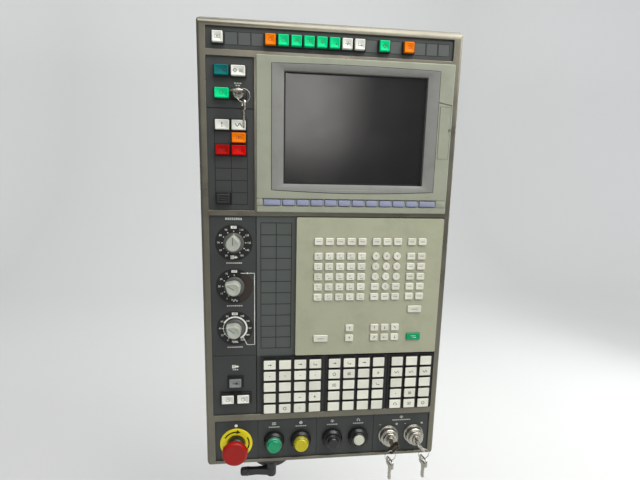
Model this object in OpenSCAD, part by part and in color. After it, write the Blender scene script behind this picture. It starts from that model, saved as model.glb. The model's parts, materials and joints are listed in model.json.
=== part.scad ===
// Operator control panel of a machine tool: a cast frame with recessed switch
// plates, a display unit, a keyboard unit and a bottom row of round controls,
// on a swivel bracket with a clamping lever. +Z is up and the front faces -Y.
// The origin is the centre of the bracket's rear bolting face.

/* [Frame] */
// Depth of the whole enclosure, frame front to rear edge
panel_d = 114; // [95:1:140]
// Depth of the cast frame, front to back
frame_d = 22; // [20:1:26]
// Radius of the rounded top front edge
bullnose_r = 12; // [8:0.5:13]
// Radius of the rounded side front edges
side_r = 5; // [3:0.5:8]
// Radius of the frame's four corners
corner_r = 8; // [6:0.5:10]
// Thickness of the frame's front wall
wall = 2.5; // [2:0.1:3]
// Thickness of the frame's outer rim behind the front wall
rim = 4; // [3:0.5:5]
// Width of the frame's left border
border = 12; // [11:0.5:14]
// Width of the frame's right border
border_right = 10.5; // [10:0.5:14]
// Height of the frame's top border
border_top = 13.5; // [13.5:0.5:18]
// Height of the frame's bottom border
border_bottom = 6; // [6:0.5:9]
// Height of the rail above the bottom plate
cross_rail = 10.5; // [8:0.5:14]

/* [Housing] */
// Sheet thickness of the rear housing
sheet = 2; // [1.5:0.1:3]
// Step from the frame's outline in to the housing's sides and top
housing_step = 3; // [2:0.5:6]
// Width of the flange that carries the rear cover
cover_flange = 14; // [12:1:20]
// Thread diameter of the cover screws
screw_d = 4; // [3:0.5:5]

/* [Plates] */
// Thickness of each recessed switch plate
plate_t = 3; // [2:0.5:4]
// Lap of a plate behind the frame's front wall
plate_lap = 1.5; // [1:0.1:1.5]
// Width of the left column of plates, as seen
column_w = 66; // [62:0.5:80]
// Height of the top strip's plate, as seen
strip_h = 29.5; // [26:0.5:36]
// Height of the bottom plate, as seen
bottom_h = 71; // [66:1:86]
// Width and depth of the scored lines on the plates
score = 0.8; // [0.5:0.1:1.2]

/* [Display unit] */
// Width of the display unit
display_w = 290; // [284:1:350]
// Height of the display unit
display_h = 220; // [218:1:264]
// Width of the visible screen
screen_w = 211.2; // [200:0.1:216]
// Height of the visible screen
screen_h = 158.4; // [150:0.1:162]
// Height that the display unit stands proud of the frame
display_proud = 4; // [3:0.5:6]
// Height of a soft key
soft_h = 9; // [7:0.5:9]
// Height of the card door
door_h = 76; // [70:1:82]
// Width of the card door
door_w = 17; // [15.5:0.5:17.5]

/* [Keyboard unit] */
// Width of the keyboard unit
keyboard_w = 230; // [224:1:231]
// Height of the keyboard unit
keyboard_h = 220; // [214:1:264]
// Height that the keyboard stands proud of the frame
keyboard_proud = 3; // [2:0.5:4]
// Pitch of the keys across
key_pitch_x = 16.9; // [15.9:0.1:17.1]
// Pitch of the keys down
key_pitch_z = 16.25; // [14:0.05:16.6]
// Width of a key cap
key_w = 13.2; // [11:0.1:13.6]
// Height of a key cap
key_h = 11.2; // [9:0.1:12]
// Width of a wide key cap
wide_key_w = 23; // [20:0.5:24]

/* [Key matrix] */
// Pitch of the matrix keys across
matrix_pitch_x = 24.1; // [22.5:0.1:24.4]
// Pitch of the matrix keys down
matrix_pitch_z = 18.9; // [17.5:0.1:19.2]
// Extra gap between the three groups of columns
matrix_gap = 7; // [4:0.5:8]
// Width of a matrix key
matrix_key_w = 19.4; // [17:0.1:20]
// Height of a matrix key
matrix_key_h = 15.6; // [14:0.1:16]

/* [Square buttons] */
// Side of a cap in the top strip
strip_cap = 14.4; // [12:0.1:14.6]
// Pitch of the top strip
strip_pitch = 18; // [17.8:0.1:18.3]
// Width of a cap in the left column
cap_w = 19.4; // [17:0.1:19.8]
// Height of a cap in the left column
cap_h = 13.8; // [12:0.1:14]
// Running clearance of a cap in its socket
cap_gap = 0.3; // [0.2:0.05:0.4]
// Travel of every square button
cap_travel = 2.5; // [1.5:0.1:3]

/* [Round controls] */
// Outer diameter of the bezel rings
ring_d = 34; // [30:0.5:36]
// Diameter of the mounting necks
neck_d = 22; // [20:0.5:24]
// Distance between the two controls of one section
control_pitch = 44; // [40:0.5:46]
// Diameter of the emergency stop head
stop_d = 40; // [36:0.5:44]
// Diameter of the ring plate behind the emergency stop
stop_plate_d = 52; // [48:0.5:56]
// Diameter of the scale round each selector knob
dial_d = 55; // [50:0.5:58]
// Distance between the selector knobs
dial_pitch = 67.5; // [62:0.5:68]
// Radius of a knob's skirt
knob_skirt_r = 15.4; // [13:0.2:16]

/* [Locks and keys] */
// Diameter of the chromed lock bodies
lock_d = 30; // [28:0.5:32]
// Diameter of the turning lock plugs
plug_d = 13; // [11:0.5:14]
// Width of a key's bow
bow_w = 20; // [18:0.5:22]
// Length of a key's bow
bow_l = 15; // [13:0.5:17]
// Thickness of a key
key_t = 2.2; // [1.8:0.1:2.4]
// Radius of a key ring, to the middle of its wire
ring_r = 8.8; // [8:0.1:10]
// Diameter of a key ring's wire
ring_wire = 1.5; // [1.2:0.1:1.6]

/* [Swivel mount] */
// Distance from the bolting face to the swivel axis
reach = 75; // [70:1:100]
// Offset of the panel's middle from the swivel axis
panel_offset = 87; // [60:1:100]
// Diameter of the swivel disc under the housing
disc_d = 98; // [90:1:104]
// Thickness of the swivel disc
disc_t = 11; // [9:0.5:14]
// Diameter of the swivel spindle
spindle_d = 30; // [26:0.5:34]
// Radial clearance of the spindle in its bore
spindle_gap = 0.05; // [0.03:0.01:0.09]
// Diameter of the bracket's head
head_d = 64; // [58:1:70]
// Thickness of the bracket's head
head_t = 18; // [16:0.5:22]
// Width of the rear bolting flange
flange_w = 90; // [84:1:110]
// Height of the rear bolting flange
flange_h = 60; // [56:1:80]
// Diameter of the four bolt holes
bolt_d = 9; // [7:0.5:10]
// Length of the clamping lever, axis to end
lever_l = 52; // [44:1:64]

/* [Hidden] */

$fn = 64;
eps = 0.01;
far = 2000;
seat = 0.3;
fit = 0.5;

// Colours of the finishes
khaki = [0.54, 0.53, 0.45];
putty = [0.60, 0.62, 0.53];
slate = [0.27, 0.29, 0.29];
jet = [0.09, 0.09, 0.09];
chrome = [0.72, 0.72, 0.70];
ivory = [0.87, 0.88, 0.84];
cap_green = [0.05, 0.72, 0.42];
cap_orange = [0.95, 0.48, 0.05];
cap_red = [0.80, 0.08, 0.08];
cap_teal = [0.0, 0.40, 0.38];

// Places worked out from the sizes above. On the panel, x runs from the
// frame's middle, z from its bottom edge and y from its front face.
rail = 3;
panel_w = border + column_w + rail + display_w + fit + border_right;
half_w = panel_w / 2;
front_y = -reach - panel_d / 2;
disc_top = 41;
head_top = disc_top - disc_t;

left_x = -half_w + border;
column_x1 = left_x + column_w;
column_mid = (left_x + column_x1) / 2;
display_x0 = column_x1 + rail;
display_x1 = display_x0 + display_w;
right_x = display_x1 + fit;
groove_x = column_x1 + 2.3;
groove_w = 1;
carrier_x0 = groove_x + groove_w / 2;
strip_x1 = right_x - 4;
keyboard_x1 = right_x - fit;
keyboard_x0 = keyboard_x1 - keyboard_w;

matrix_foot = 11.2;
matrix_head = 12.7;
keyboard_rim = 1.5;
bottom_z0 = border_bottom;
bottom_z1 = bottom_z0 + bottom_h;
lower_z0 = bottom_z1 + cross_rail;
matrix_top = lower_z0 + matrix_foot + 4 * matrix_pitch_z + matrix_head;
keyboard_z0 = matrix_top + keyboard_rim;
keyboard_z1 = keyboard_z0 + keyboard_h;
lower_z1 = keyboard_z1 + keyboard_rim;
display_z0 = lower_z1 + 6;
display_z1 = display_z0 + display_h;
upper_z0 = display_z0 + 2;
upper_z1 = display_z1 - 4;
strip_z0 = display_z1 + 5;
strip_z1 = strip_z0 + strip_h;
panel_h = strip_z1 + border_top;

plate_y0 = wall;
plate_y1 = wall + plate_t;

// Three groups of key columns: five, three and two wide
group_gap = 22.4;
keys_x0 = keyboard_x0 + 33.4;
key_cols = [
  for (g = [0:2]) for (i = [0:[5, 3, 2][g] - 1])
    keys_x0 + i * key_pitch_x + [0, 4 * key_pitch_x + group_gap,
                                 6 * key_pitch_x + 2 * group_gap][g]
];
keys_z0 = keyboard_z1 - 59.1;
key_rows = [for (i = [0:4]) keys_z0 - i * key_pitch_z];
top_row_z = keys_z0 + 23;
cursor_z = keyboard_z0 + 28;
cursor_step = 16.6;

// Matrix: four, four and three columns
matrix_cols = [
  for (i = [0:10])
    carrier_x0 + 20.2 + i * matrix_pitch_x + (i > 3 ? matrix_gap : 0) + (i > 7 ? matrix_gap : 0)
];
matrix_rows = [for (i = [0:4]) lower_z0 + matrix_foot + (4 - i) * matrix_pitch_z];

// Upper left plate: two rows of lamps and locks over a grid of seven rows
cell_w = cap_w + 3.6;
cell_h = cap_h + 3.6;
cell_x = [column_mid - cell_w / 2, column_mid + cell_w / 2];
lamp_z = [upper_z1 - 19.2, upper_z1 - 49.4];
lamp_divider_z = upper_z1 - 70;
cell_top = upper_z1 - 83.6;
cell_rows = [for (i = [0:6]) cell_top - cell_h * (i + 0.5)];

strip_z = (strip_z0 + strip_z1) / 2;
strip_places = 19;
strip_used = [0, 4, 5, 6, 7, 8, 9, 10, 11, 13, 15];
function strip_x(i) = left_x + 17 + i * strip_pitch;

// Bottom plate: the stop, then three sections of two controls
control_z = bottom_z0 + 32;
stop_z = control_z - 2;
stop_x = column_mid + 2;
section_w = 2 * control_pitch + 8.5;
section_x = [for (i = [3:-1:1]) right_x - i * section_w];
control_x = [for (x = section_x) for (s = [-1, 1]) x + (section_w + s * control_pitch) / 2];

dial_x = column_mid + 2.2;
dial_z = [for (i = [0:2]) lower_z1 - 41 - i * dial_pitch];

tool_key_x = [dial_x - matrix_pitch_x / 2, dial_x + matrix_pitch_x / 2];
tool_lamp_z = lower_z0 + 57.5;
tool_key_z = lower_z0 + 29.8;

neck_gap = 0.2;
cap_front = -5.5;
cap_back = 4.5;
socket_wall = 0.9;
socket_lip = 0.35;
socket_front = -0.8;
socket_floor = cap_back + cap_travel + 1;
socket_back = socket_floor + 8;

stop_reach = 28;
lens_reach = 17;
collar_gap = 0.3;
lock_reach = 15;
plug_reach = 17;

// ---------------------------------------------------------------- helpers
module on_panel() translate([panel_offset, front_y, disc_top]) children();
module at(x, z) translate([x, 0, z]) children();

// Upright outline drawn in x and z, made solid between two depths
module slab(y0, y1) translate([0, y1, 0]) rotate([90, 0, 0]) linear_extrude(y1 - y0) children();

// Rectangle with true rounded corners, centred
module round_rect(w, h, r) {
  square([w - 2 * r, h], center = true);
  square([w, h - 2 * r], center = true);
  for (x = [-1, 1]) for (y = [-1, 1])
    translate([x * (w / 2 - r), y * (h / 2 - r)]) circle(r);
}

// Box between two corners of the panel's face and two depths
module block(x0, z0, x1, z1, y0, y1) translate([x0, y0, z0]) cube([x1 - x0, y1 - y0, z1 - z0]);

// Centred box of a width and height between two depths
module pad(w, h, y0, y1) translate([-w / 2, y0, -h / 2]) cube([w, y1 - y0, h]);

// Round disc about the panel's normal between two depths
module disc(d, y0, y1) translate([0, y1, 0]) rotate([90, 0, 0]) cylinder(d = d, h = y1 - y0);

// Body turned about the panel's normal: points are radius and height proud
module turned(points) rotate([90, 0, 0]) rotate_extrude() polygon(points);

// ---------------------------------------------------------- swivel mount
bolt_x = flange_w / 2 - 12;
bolt_z = flange_h / 2 - 11;
flange_t = 10;
beam_w = 46;
lug_y = -reach - head_d / 2 - 8;
lug_d = 17;
lug_t = 10;
stud_d = 8;
spindle_bottom = head_top - head_t - seat;

module swivel_bracket() color(jet) {
  difference() {
    union() {
      translate([0, -reach, head_top - head_t]) cylinder(d = head_d, h = head_t);
      translate([-beam_w / 2, -reach, head_top - head_t]) cube([beam_w, reach - flange_t + eps, head_t]);
      translate([-flange_w / 2, -flange_t, -flange_h / 2]) cube([flange_w, flange_t, flange_h]);
      // web under the beam, deeper towards the flange
      for (s = [-1, 1]) translate([s * (beam_w / 2 - 4) - 4, 0, 0])
        rotate([90, 0, 90]) linear_extrude(8) polygon([
          [-reach + head_d / 2 + 6, head_top - head_t + eps],
          [-flange_t + eps, head_top - head_t + eps],
          [-flange_t + eps, -flange_h / 2 + 6]
        ]);
      translate([0, lug_y, head_top - lug_t]) cylinder(d = lug_d, h = lug_t);
      translate([-lug_d / 2, lug_y, head_top - lug_t]) cube([lug_d, head_d / 2, lug_t]);
    }
    translate([0, -reach, head_top - head_t - 1])
      cylinder(r = spindle_d / 2 + spindle_gap, h = head_t + 2);
    translate([0, lug_y, head_top - lug_t - 1]) cylinder(d = stud_d + 0.2, h = lug_t + 2);
    for (x = [-1, 1]) for (z = [-1, 1])
      translate([x * bolt_x, eps, z * bolt_z]) rotate([90, 0, 0])
        cylinder(d = bolt_d, h = flange_t + 2 * eps);
  }
}

lever_top = head_top - lug_t - seat;
lever_h = 14;
module clamp_lever() color(jet) translate([0, lug_y, lever_top - lever_h]) {
  cylinder(d = 16, h = lever_h);
  cylinder(d = stud_d, h = lever_h + lug_t + seat);
  // arm, waisted between the hub and the grip
  translate([0, 0, 1.5]) linear_extrude(lever_h - 3) polygon([
    [0, -6], [-lever_l / 2, -3.6], [-lever_l + 12, -4.6], [-lever_l + 12, 4.6], [-lever_l / 2, 3.6], [0, 6]
  ]);
  translate([-lever_l + 14, 0, lever_h / 2]) rotate([0, -90, 0])
    rotate_extrude() polygon([[0, 0], [5, 0], [7, 2], [7, 11], [5.4, 13.4], [3, 14], [0, 14]]);
}

module swivel_disc() color(jet) translate([0, -reach, 0]) difference() {
  rotate_extrude() polygon([
    [0, spindle_bottom], [spindle_d / 2, spindle_bottom], [spindle_d / 2, head_top + seat],
    [disc_d / 2 - 1.5, head_top + seat], [disc_d / 2, head_top + seat + 1.5], [disc_d / 2, disc_top],
    [0, disc_top]
  ]);
  translate([0, 0, spindle_bottom - 1]) cylinder(d = 8, h = 16);
}

washer_t = 5;
module spindle_screw() translate([0, -reach, spindle_bottom - washer_t]) {
  cylinder(d = spindle_d + 8, h = washer_t);
  translate([0, 0, -7]) cylinder(d = 13 / cos(30), h = 7 + eps, $fn = 6);
  cylinder(d = 7.6, h = washer_t + 12);
}

// --------------------------------------------------------------- housing
house_x = half_w - housing_step;
house_z1 = panel_h - housing_step;
cover_y = panel_d;

module housing() color(khaki) on_panel() difference() {
  block(-house_x, 0, house_x, house_z1, frame_d, cover_y);
  block(-house_x + sheet, sheet, house_x - sheet, house_z1 - sheet, frame_d - 1, cover_y - sheet);
  block(-house_x + cover_flange, cover_flange, house_x - cover_flange, house_z1 - cover_flange,
        cover_y - sheet - 1, cover_y + 1);
  for (p = cover_points) at(p[0], p[1]) disc(screw_d - 0.7, cover_y - sheet - 1, cover_y + 1);
}

cover_edge = 3;
cover_x = house_x - cover_edge;
cover_z0 = cover_edge;
cover_z1 = house_z1 - cover_edge;
screw_inset = 5;
screw_step = (cover_z1 - cover_z0 - 2 * screw_inset) / 4;
cover_points = [
  for (s = [-1, 1]) for (i = [0:4]) [s * (cover_x - screw_inset), cover_z0 + screw_inset + i * screw_step],
  for (z = [cover_z0 + screw_inset, cover_z1 - screw_inset]) [0, z]
];

field_w = 2 * cover_x - 50;
field_h = cover_z1 - cover_z0 - 60;
field_rise = 3;
module rear_cover() color(khaki) on_panel() difference() {
  union() {
    block(-cover_x, cover_z0, cover_x, cover_z1, cover_y, cover_y + sheet);
    // raised field pressed into the sheet
    translate([0, 0, (cover_z0 + cover_z1) / 2])
      slab(cover_y + sheet - eps, cover_y + sheet + field_rise) round_rect(field_w, field_h, 10);
  }
  translate([0, 0, (cover_z0 + cover_z1) / 2])
    slab(cover_y - 1, cover_y + field_rise) round_rect(field_w - 2 * sheet, field_h - 2 * sheet, 10 - sheet);
  for (p = cover_points) at(p[0], p[1]) disc(screw_d + 0.5, cover_y - 1, cover_y + sheet + 1);
}

module cover_screw() difference() {
  union() {
    disc(screw_d * 1.9, cover_y + sheet, cover_y + sheet + 2.2);
    disc(screw_d - 0.8, cover_y - 6, cover_y + sheet + eps);
  }
  pad(screw_d * 1.3, 0.9, cover_y + sheet + 1.2, cover_y + sheet + 3);
  pad(0.9, screw_d * 1.3, cover_y + sheet + 1.2, cover_y + sheet + 3);
}

module fasteners() color(chrome) {
  spindle_screw();
  on_panel() for (p = cover_points) at(p[0], p[1]) cover_screw();
}

// ----------------------------------------------------------- front frame
display_lap = 4;

module frame_windows() {
  block(left_x + fit, strip_z0, strip_x1, strip_z1, -1, wall + 1);
  block(left_x, upper_z0, column_x1, upper_z1, -1, wall + 1);
  block(left_x, lower_z0, right_x, lower_z1, -1, wall + 1);
  block(left_x + 2, bottom_z0, right_x, bottom_z1, -1, wall + 1);
  block(display_x0 + display_lap, display_z0 + display_lap, display_x1 - display_lap,
        display_z1 - display_lap, -1, wall + 1);
}

module front_frame() color(khaki) on_panel() difference() {
  intersection() {
    translate([0, 0, panel_h / 2]) slab(0, frame_d) round_rect(panel_w, panel_h, corner_r);
    // side view: large radius along the top front edge, small one below
    rotate([90, 0, 90]) linear_extrude(panel_w + 20, center = true) {
      translate([bullnose_r, panel_h - bullnose_r]) circle(bullnose_r);
      translate([side_r / 2, side_r / 2]) circle(side_r / 2);
      translate([0, side_r / 2]) square([frame_d, panel_h - bullnose_r - side_r / 2]);
      translate([side_r / 2, 0]) square([frame_d - side_r / 2, panel_h / 2]);
      translate([bullnose_r, panel_h / 2]) square([frame_d - bullnose_r, panel_h / 2]);
    }
    // plan view: rounded front edges at both sides
    linear_extrude(panel_h) {
      for (s = [-1, 1]) translate([s * (half_w - side_r), side_r]) circle(side_r);
      translate([-half_w, side_r]) square([panel_w, frame_d - side_r]);
      translate([-half_w + side_r, 0]) square([panel_w - 2 * side_r, frame_d]);
    }
  }
  block(-half_w + rim, rim, half_w - rim, panel_h - bullnose_r, wall, frame_d + 1);
  frame_windows();
}

// ---------------------------------------------------------------- plates
module socket_hole(w, h)
  pad(w + socket_rim + 2 * neck_gap, h + socket_rim + 2 * neck_gap, -1, plate_y1 + 1);

// Lines scored round a grid of cells, from its upper left corner
module scored_grid(x0, z1, w, h, columns, rows) {
  for (i = [0:columns])
    block(x0 + i * w - score / 2, z1 - rows * h, x0 + i * w + score / 2, z1,
          plate_y0 - 1, plate_y0 + score / 2);
  for (i = [0:rows])
    block(x0, z1 - i * h - score / 2, x0 + columns * w, z1 - i * h + score / 2,
          plate_y0 - 1, plate_y0 + score / 2);
}

blank_cap = strip_pitch - 0.4;
module top_plate() color(slate) on_panel() difference() {
  block(left_x + fit - plate_lap, strip_z0 - plate_lap, strip_x1 + plate_lap, strip_z1 + plate_lap,
        plate_y0, plate_y1);
  for (i = strip_used) at(strip_x(i), strip_z) socket_hole(strip_cap, strip_cap);
  // scored outlines of the blank places
  for (i = [0:strip_places - 1]) if (len(search(i, strip_used)) == 0) at(strip_x(i), strip_z) difference() {
    pad(blank_cap, blank_cap, plate_y0 - 1, plate_y0 + score / 2);
    pad(blank_cap - 2 * score, blank_cap - 2 * score, plate_y0 - 2, plate_y0 + 1);
  }
}

module upper_left_plate() color(slate) on_panel() difference() {
  block(left_x - plate_lap, upper_z0 - plate_lap, column_x1 + plate_lap, upper_z1 + plate_lap,
        plate_y0, plate_y1);
  for (p = column_places) at(p[0], p[1]) socket_hole(cap_w, cap_h);
  block(left_x - 1, lamp_divider_z, column_x1 + 1, lamp_divider_z + 2 * score,
        plate_y0 - 1, plate_y0 + score);
  scored_grid(column_mid - cell_w, cell_top, cell_w, cell_h, 2, 7);
}
column_places = [
  [cell_x[0], lamp_z[0]], [cell_x[1], lamp_z[0]], [cell_x[0], lamp_z[1]], [cell_x[1], lamp_z[1]],
  [cell_x[0], cell_rows[0]], [cell_x[1], cell_rows[0]], [cell_x[1], cell_rows[1]],
  [cell_x[0], cell_rows[2]], [cell_x[1], cell_rows[2]], [cell_x[0], cell_rows[6]]
];

module override_plate() color(slate) on_panel() difference() {
  block(left_x - plate_lap, lower_z0 - plate_lap, groove_x - groove_w / 2, lower_z1 + plate_lap,
        plate_y0, plate_y1);
  for (z = dial_z) at(dial_x, z) {
    disc(knob_neck_d + 1, -1, plate_y1 + 1);
    // fine ring scored round the scale
    turned([[dial_d / 2, -plate_y0 + 1], [dial_d / 2, -plate_y0 - 0.3], [dial_d / 2 + 0.6, -plate_y0 - 0.3],
            [dial_d / 2 + 0.6, -plate_y0 + 1]]);
  }
  at(dial_x, tool_lamp_z) socket_hole(matrix_key_w, matrix_key_h);
  for (x = tool_key_x) at(x, tool_key_z) socket_hole(matrix_key_w, matrix_key_h);
  block(left_x - 1, matrix_top + score, groove_x, matrix_top + 3 * score,
        plate_y0 - 1, plate_y0 + score);
}

carrier_lap = 6;
blank_pitch = 18.15;
blank_top = lower_z1 - 10.5;
blank_w = 23.2;
function blank_x(i) = carrier_x0 + 6.4 + i * blank_w;
module keyboard_carrier() color(slate) on_panel() difference() {
  block(carrier_x0, matrix_top, right_x + plate_lap, lower_z1 + plate_lap, plate_y0, plate_y1);
  block(keyboard_x0 + carrier_lap, keyboard_z0 + carrier_lap, keyboard_x1 - carrier_lap,
        keyboard_z1 - carrier_lap, plate_y0 - 1, plate_y1 + 1);
  // blank cells, two wide and eleven high
  scored_grid(blank_x(0), blank_top, blank_w, blank_pitch, 2, 11);
}

module matrix_tray() color(jet) on_panel() difference() {
  block(carrier_x0, lower_z0 - plate_lap, right_x + plate_lap, matrix_top - neck_gap,
        plate_y0, plate_y1);
  for (x = matrix_cols) for (z = matrix_rows) at(x, z)
    pad(matrix_key_w + 2 * cap_gap, matrix_key_h + 2 * cap_gap, -1, plate_y1 + 1);
}

module bottom_plate() color(slate) on_panel() difference() {
  block(left_x + 2 - plate_lap, bottom_z0 - plate_lap, right_x + plate_lap, bottom_z1 + plate_lap,
        plate_y0, plate_y1);
  at(stop_x, stop_z) disc(neck_d + 2 * neck_gap, -1, plate_y1 + 1);
  for (x = control_x) at(x, control_z) disc(neck_d + 2 * neck_gap, -1, plate_y1 + 1);
  for (x = section_x)
    block(x - score / 2, bottom_z0 - 1, x + score / 2, bottom_z1 + 1, plate_y0 - 1, plate_y0 + score);
}

// ----------------------------------------------------------- display unit
screen_x = display_x0 + 39.2 + screen_w / 2;
screen_z = display_z0 + 42 + screen_h / 2;
inner_w = screen_w + 34.6;
inner_h = screen_h + 16;
slope = 2.2;
soft_z = display_z0 + 15;
soft_gap = 0.35;
// widths of the twelve soft keys: two wide ones at the ends
soft_narrow = 18.2;
soft_wide = 25;
soft_pitch = 20.9;
function soft_x(i) = display_x0 + 23
  + (i == 0 ? 0 : (i - 1) * soft_pitch + (soft_wide + soft_narrow) / 2 + 3)
  + (i == 11 ? (soft_wide - soft_narrow) / 2 : 0);
function soft_w(i) = (i == 0 || i == 11) ? soft_wide : soft_narrow;

door_x0 = display_x1 - 2.6 - door_w;
door_z0 = display_z0 + 83.5;
door_t = 2.4;
hinge_r = 1.6;
hinge_x = door_x0 + hinge_r;
hinge_y = -display_proud + hinge_r;
slot_w = 6;
slot_h = 56;
slot_depth = 60;
slot_x = door_x0 + door_w / 2 + 0.8;
slot_z = door_z0 + door_h / 2;
cage_w = slot_w + 3;
cage_h = slot_h + 3;
cage_fit = 0.1;

module display_bezel() color(putty) on_panel() difference() {
  union() {
    intersection() {
      translate([display_x0 + display_w / 2, 0, display_z0 + display_h / 2])
        slab(-display_proud, 0) round_rect(display_w, display_h, 2.5);
      // front edges eased by a small chamfer
      rotate([90, 0, 90]) linear_extrude(far, center = true) polygon([
        [-display_proud, display_z0 + 1.2], [-display_proud + 1.2, display_z0], [1, display_z0],
        [1, display_z1], [-display_proud + 1.2, display_z1], [-display_proud, display_z1 - 1.2]
      ]);
      linear_extrude(far) polygon([
        [display_x0 + 1.2, -display_proud], [display_x0, -display_proud + 1.2], [display_x0, 1],
        [display_x1, 1], [display_x1, -display_proud + 1.2], [display_x1 - 1.2, -display_proud]
      ]);
    }
    block(display_x0 + display_lap + 0.4, display_z0 + display_lap + 0.4, display_x1 - display_lap - 0.4,
          display_z1 - display_lap - 0.4, -eps, bezel_back);
  }
  // opening for the screen with sloping flanks
  translate([screen_x, 0, screen_z]) {
    pad(screen_w, screen_h, -far, far);
    intersection() {
      rotate([90, 0, 90]) linear_extrude(far, center = true) polygon([
        [-display_proud - eps, inner_h / 2], [-display_proud - eps, -inner_h / 2],
        [-display_proud + slope, -screen_h / 2], [-display_proud + slope, screen_h / 2]
      ]);
      linear_extrude(far, center = true) polygon([
        [-inner_w / 2, -display_proud - eps], [inner_w / 2, -display_proud - eps],
        [screen_w / 2, -display_proud + slope], [-screen_w / 2, -display_proud + slope]
      ]);
    }
    pad(screen_w + 12, screen_h + 12, screen_y, far);
  }
  // channel of the soft keys, open at both ends
  block(display_x0 - 1, soft_z - soft_h / 2 - 1.5, display_x1 + 1, soft_z + soft_h / 2 + 1.5,
        -display_proud - 1, -display_proud + 1.5);
  for (i = [0:11]) at(soft_x(i), soft_z) pad(soft_w(i) + 2 * soft_gap, soft_h + 2 * soft_gap, -far, far);
  // pocket of the card door, its finger notch and the hole of the card cage
  block(door_x0 - seat, door_z0 - seat, door_x0 + door_w + seat, door_z0 + door_h + seat,
        -display_proud - 1, -display_proud + 2 * hinge_r + seat);
  at(door_x0 + door_w + seat, slot_z + 4) disc(6, -display_proud - 1, -display_proud + 2);
  at(slot_x, slot_z) pad(cage_w + 2 * cage_fit, cage_h + 2 * cage_fit, -display_proud, far);
  for (s = [-1, 1]) translate([hinge_x, hinge_y, slot_z + s * (door_h / 2 + 2) - 3])
    cylinder(r = pin_r + pin_gap, h = 6);
  // sloping groove above the door
  translate([door_x0 + door_w / 2 - 0.5, 0, door_z0 + door_h + 4]) rotate([0, 10, 0])
    pad(door_w + 4, 1.6, -display_proud - 1, -display_proud + 1.2);
}
pin_r = 0.8;
pin_gap = 0.05;
screen_y = 4;
bezel_back = 16;

module screen() color([0.12, 0.12, 0.12]) on_panel() translate([screen_x, 0, screen_z])
  pad(screen_w + 11, screen_h + 11, screen_y, 15);

module card_door() color(putty) on_panel() {
  translate([hinge_x, hinge_y, door_z0]) cylinder(r = hinge_r, h = door_h);
  translate([hinge_x, hinge_y, door_z0 - 2.5]) cylinder(r = pin_r, h = door_h + 5);
  difference() {
    block(hinge_x, door_z0, door_x0 + door_w, door_z0 + door_h, -display_proud, -display_proud + door_t);
    at(door_x0 + door_w, slot_z + 4) disc(5, -display_proud - 1, far);
  }
}

soft_front = -display_proud - 0.6;
module soft_keys() color([0.55, 0.57, 0.68]) on_panel() for (i = [0:11]) at(soft_x(i), soft_z)
  intersection() {
    pad(soft_w(i), soft_h, soft_front, 12);
    // top edge sloped back, as a moulded key is
    rotate([90, 0, 90]) linear_extrude(far, center = true) polygon([
      [soft_front, -soft_h / 2 + 0.8], [soft_front + 0.8, -soft_h / 2], [12, -soft_h / 2],
      [12, soft_h / 2], [soft_front + 2, soft_h / 2], [soft_front, soft_h / 2 - 3.2]
    ]);
  }

// Inside: the card cage, the control in its sheet case beside it, the boards behind
// both keyboards on their posts, and the contact blocks of the round controls
unit_y0 = bezel_back;
unit_y1 = panel_d - 14;
unit_x0 = display_x0 + 12;
unit_x1 = slot_x - cage_w / 2 - cage_fit;
unit_z0 = display_z0 + 30;
unit_z1 = display_z1 - 12;
board_y = 14.3;
board_t = 2;

module card_cage() at(slot_x, slot_z) difference() {
  pad(cage_w, cage_h, -0.5, unit_y0 + slot_depth + 2);
  pad(slot_w + 1, slot_h + 1, -1, unit_y0 + slot_depth);
}

module sheet_case() {
  difference() {
    block(unit_x0, unit_z0, unit_x1, unit_z1, unit_y0, unit_y1);
    block(unit_x0 + sheet, unit_z0 + sheet, unit_x1 - sheet, unit_z1 - sheet,
          unit_y0 - 1, unit_y1 - sheet);
  }
  // main board inside the case
  block(unit_x0 + sheet - eps, unit_z0 + sheet - eps, unit_x1 - sheet + eps, unit_z1 - sheet + eps,
        40, 40 + board_t);
}

module control_case() color([0.62, 0.63, 0.62]) on_panel() {
  sheet_case();
  card_cage();
}

module board(x0, z0, x1, z1, posts, post_y0) {
  block(x0, z0, x1, z1, board_y, board_y + board_t);
  for (p = posts) at(p[0], p[1]) disc(4, post_y0, board_y + eps);
}

module contact_block(w, h, y1, bore, bore_y) difference() {
  pad(w, h, plate_y1 + 0.5, y1);
  disc(bore, 0, bore_y);
}

module electrics() color([0.30, 0.42, 0.34]) on_panel() {
  board(keyboard_x0 + 12, keyboard_z0 + 14, keyboard_x1 - 12, keyboard_z1 - 14,
        [for (x = [keyboard_x0 + 16, keyboard_x1 - 16]) for (z = [cursor_z + 32, keyboard_z1 - 18]) [x, z]],
        face_back);
  board(carrier_x0 + 7.2, lower_z0 + 3, right_x - 3, matrix_top - 3,
        [for (i = [3, 7]) for (z = [lower_z0 + 10, matrix_top - 10])
          [(matrix_cols[i] + matrix_cols[i + 1]) / 2, z]], plate_y1);
  at(stop_x, stop_z) contact_block(30, 34, 52, neck_d + 2 * neck_gap, 30);
  for (x = control_x) at(x, control_z) contact_block(30, 34, 52, neck_d + 2 * neck_gap, 30);
  for (z = dial_z) at(dial_x, z) contact_block(30, 30, 40, knob_neck_d + 1, 20);
}

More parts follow.
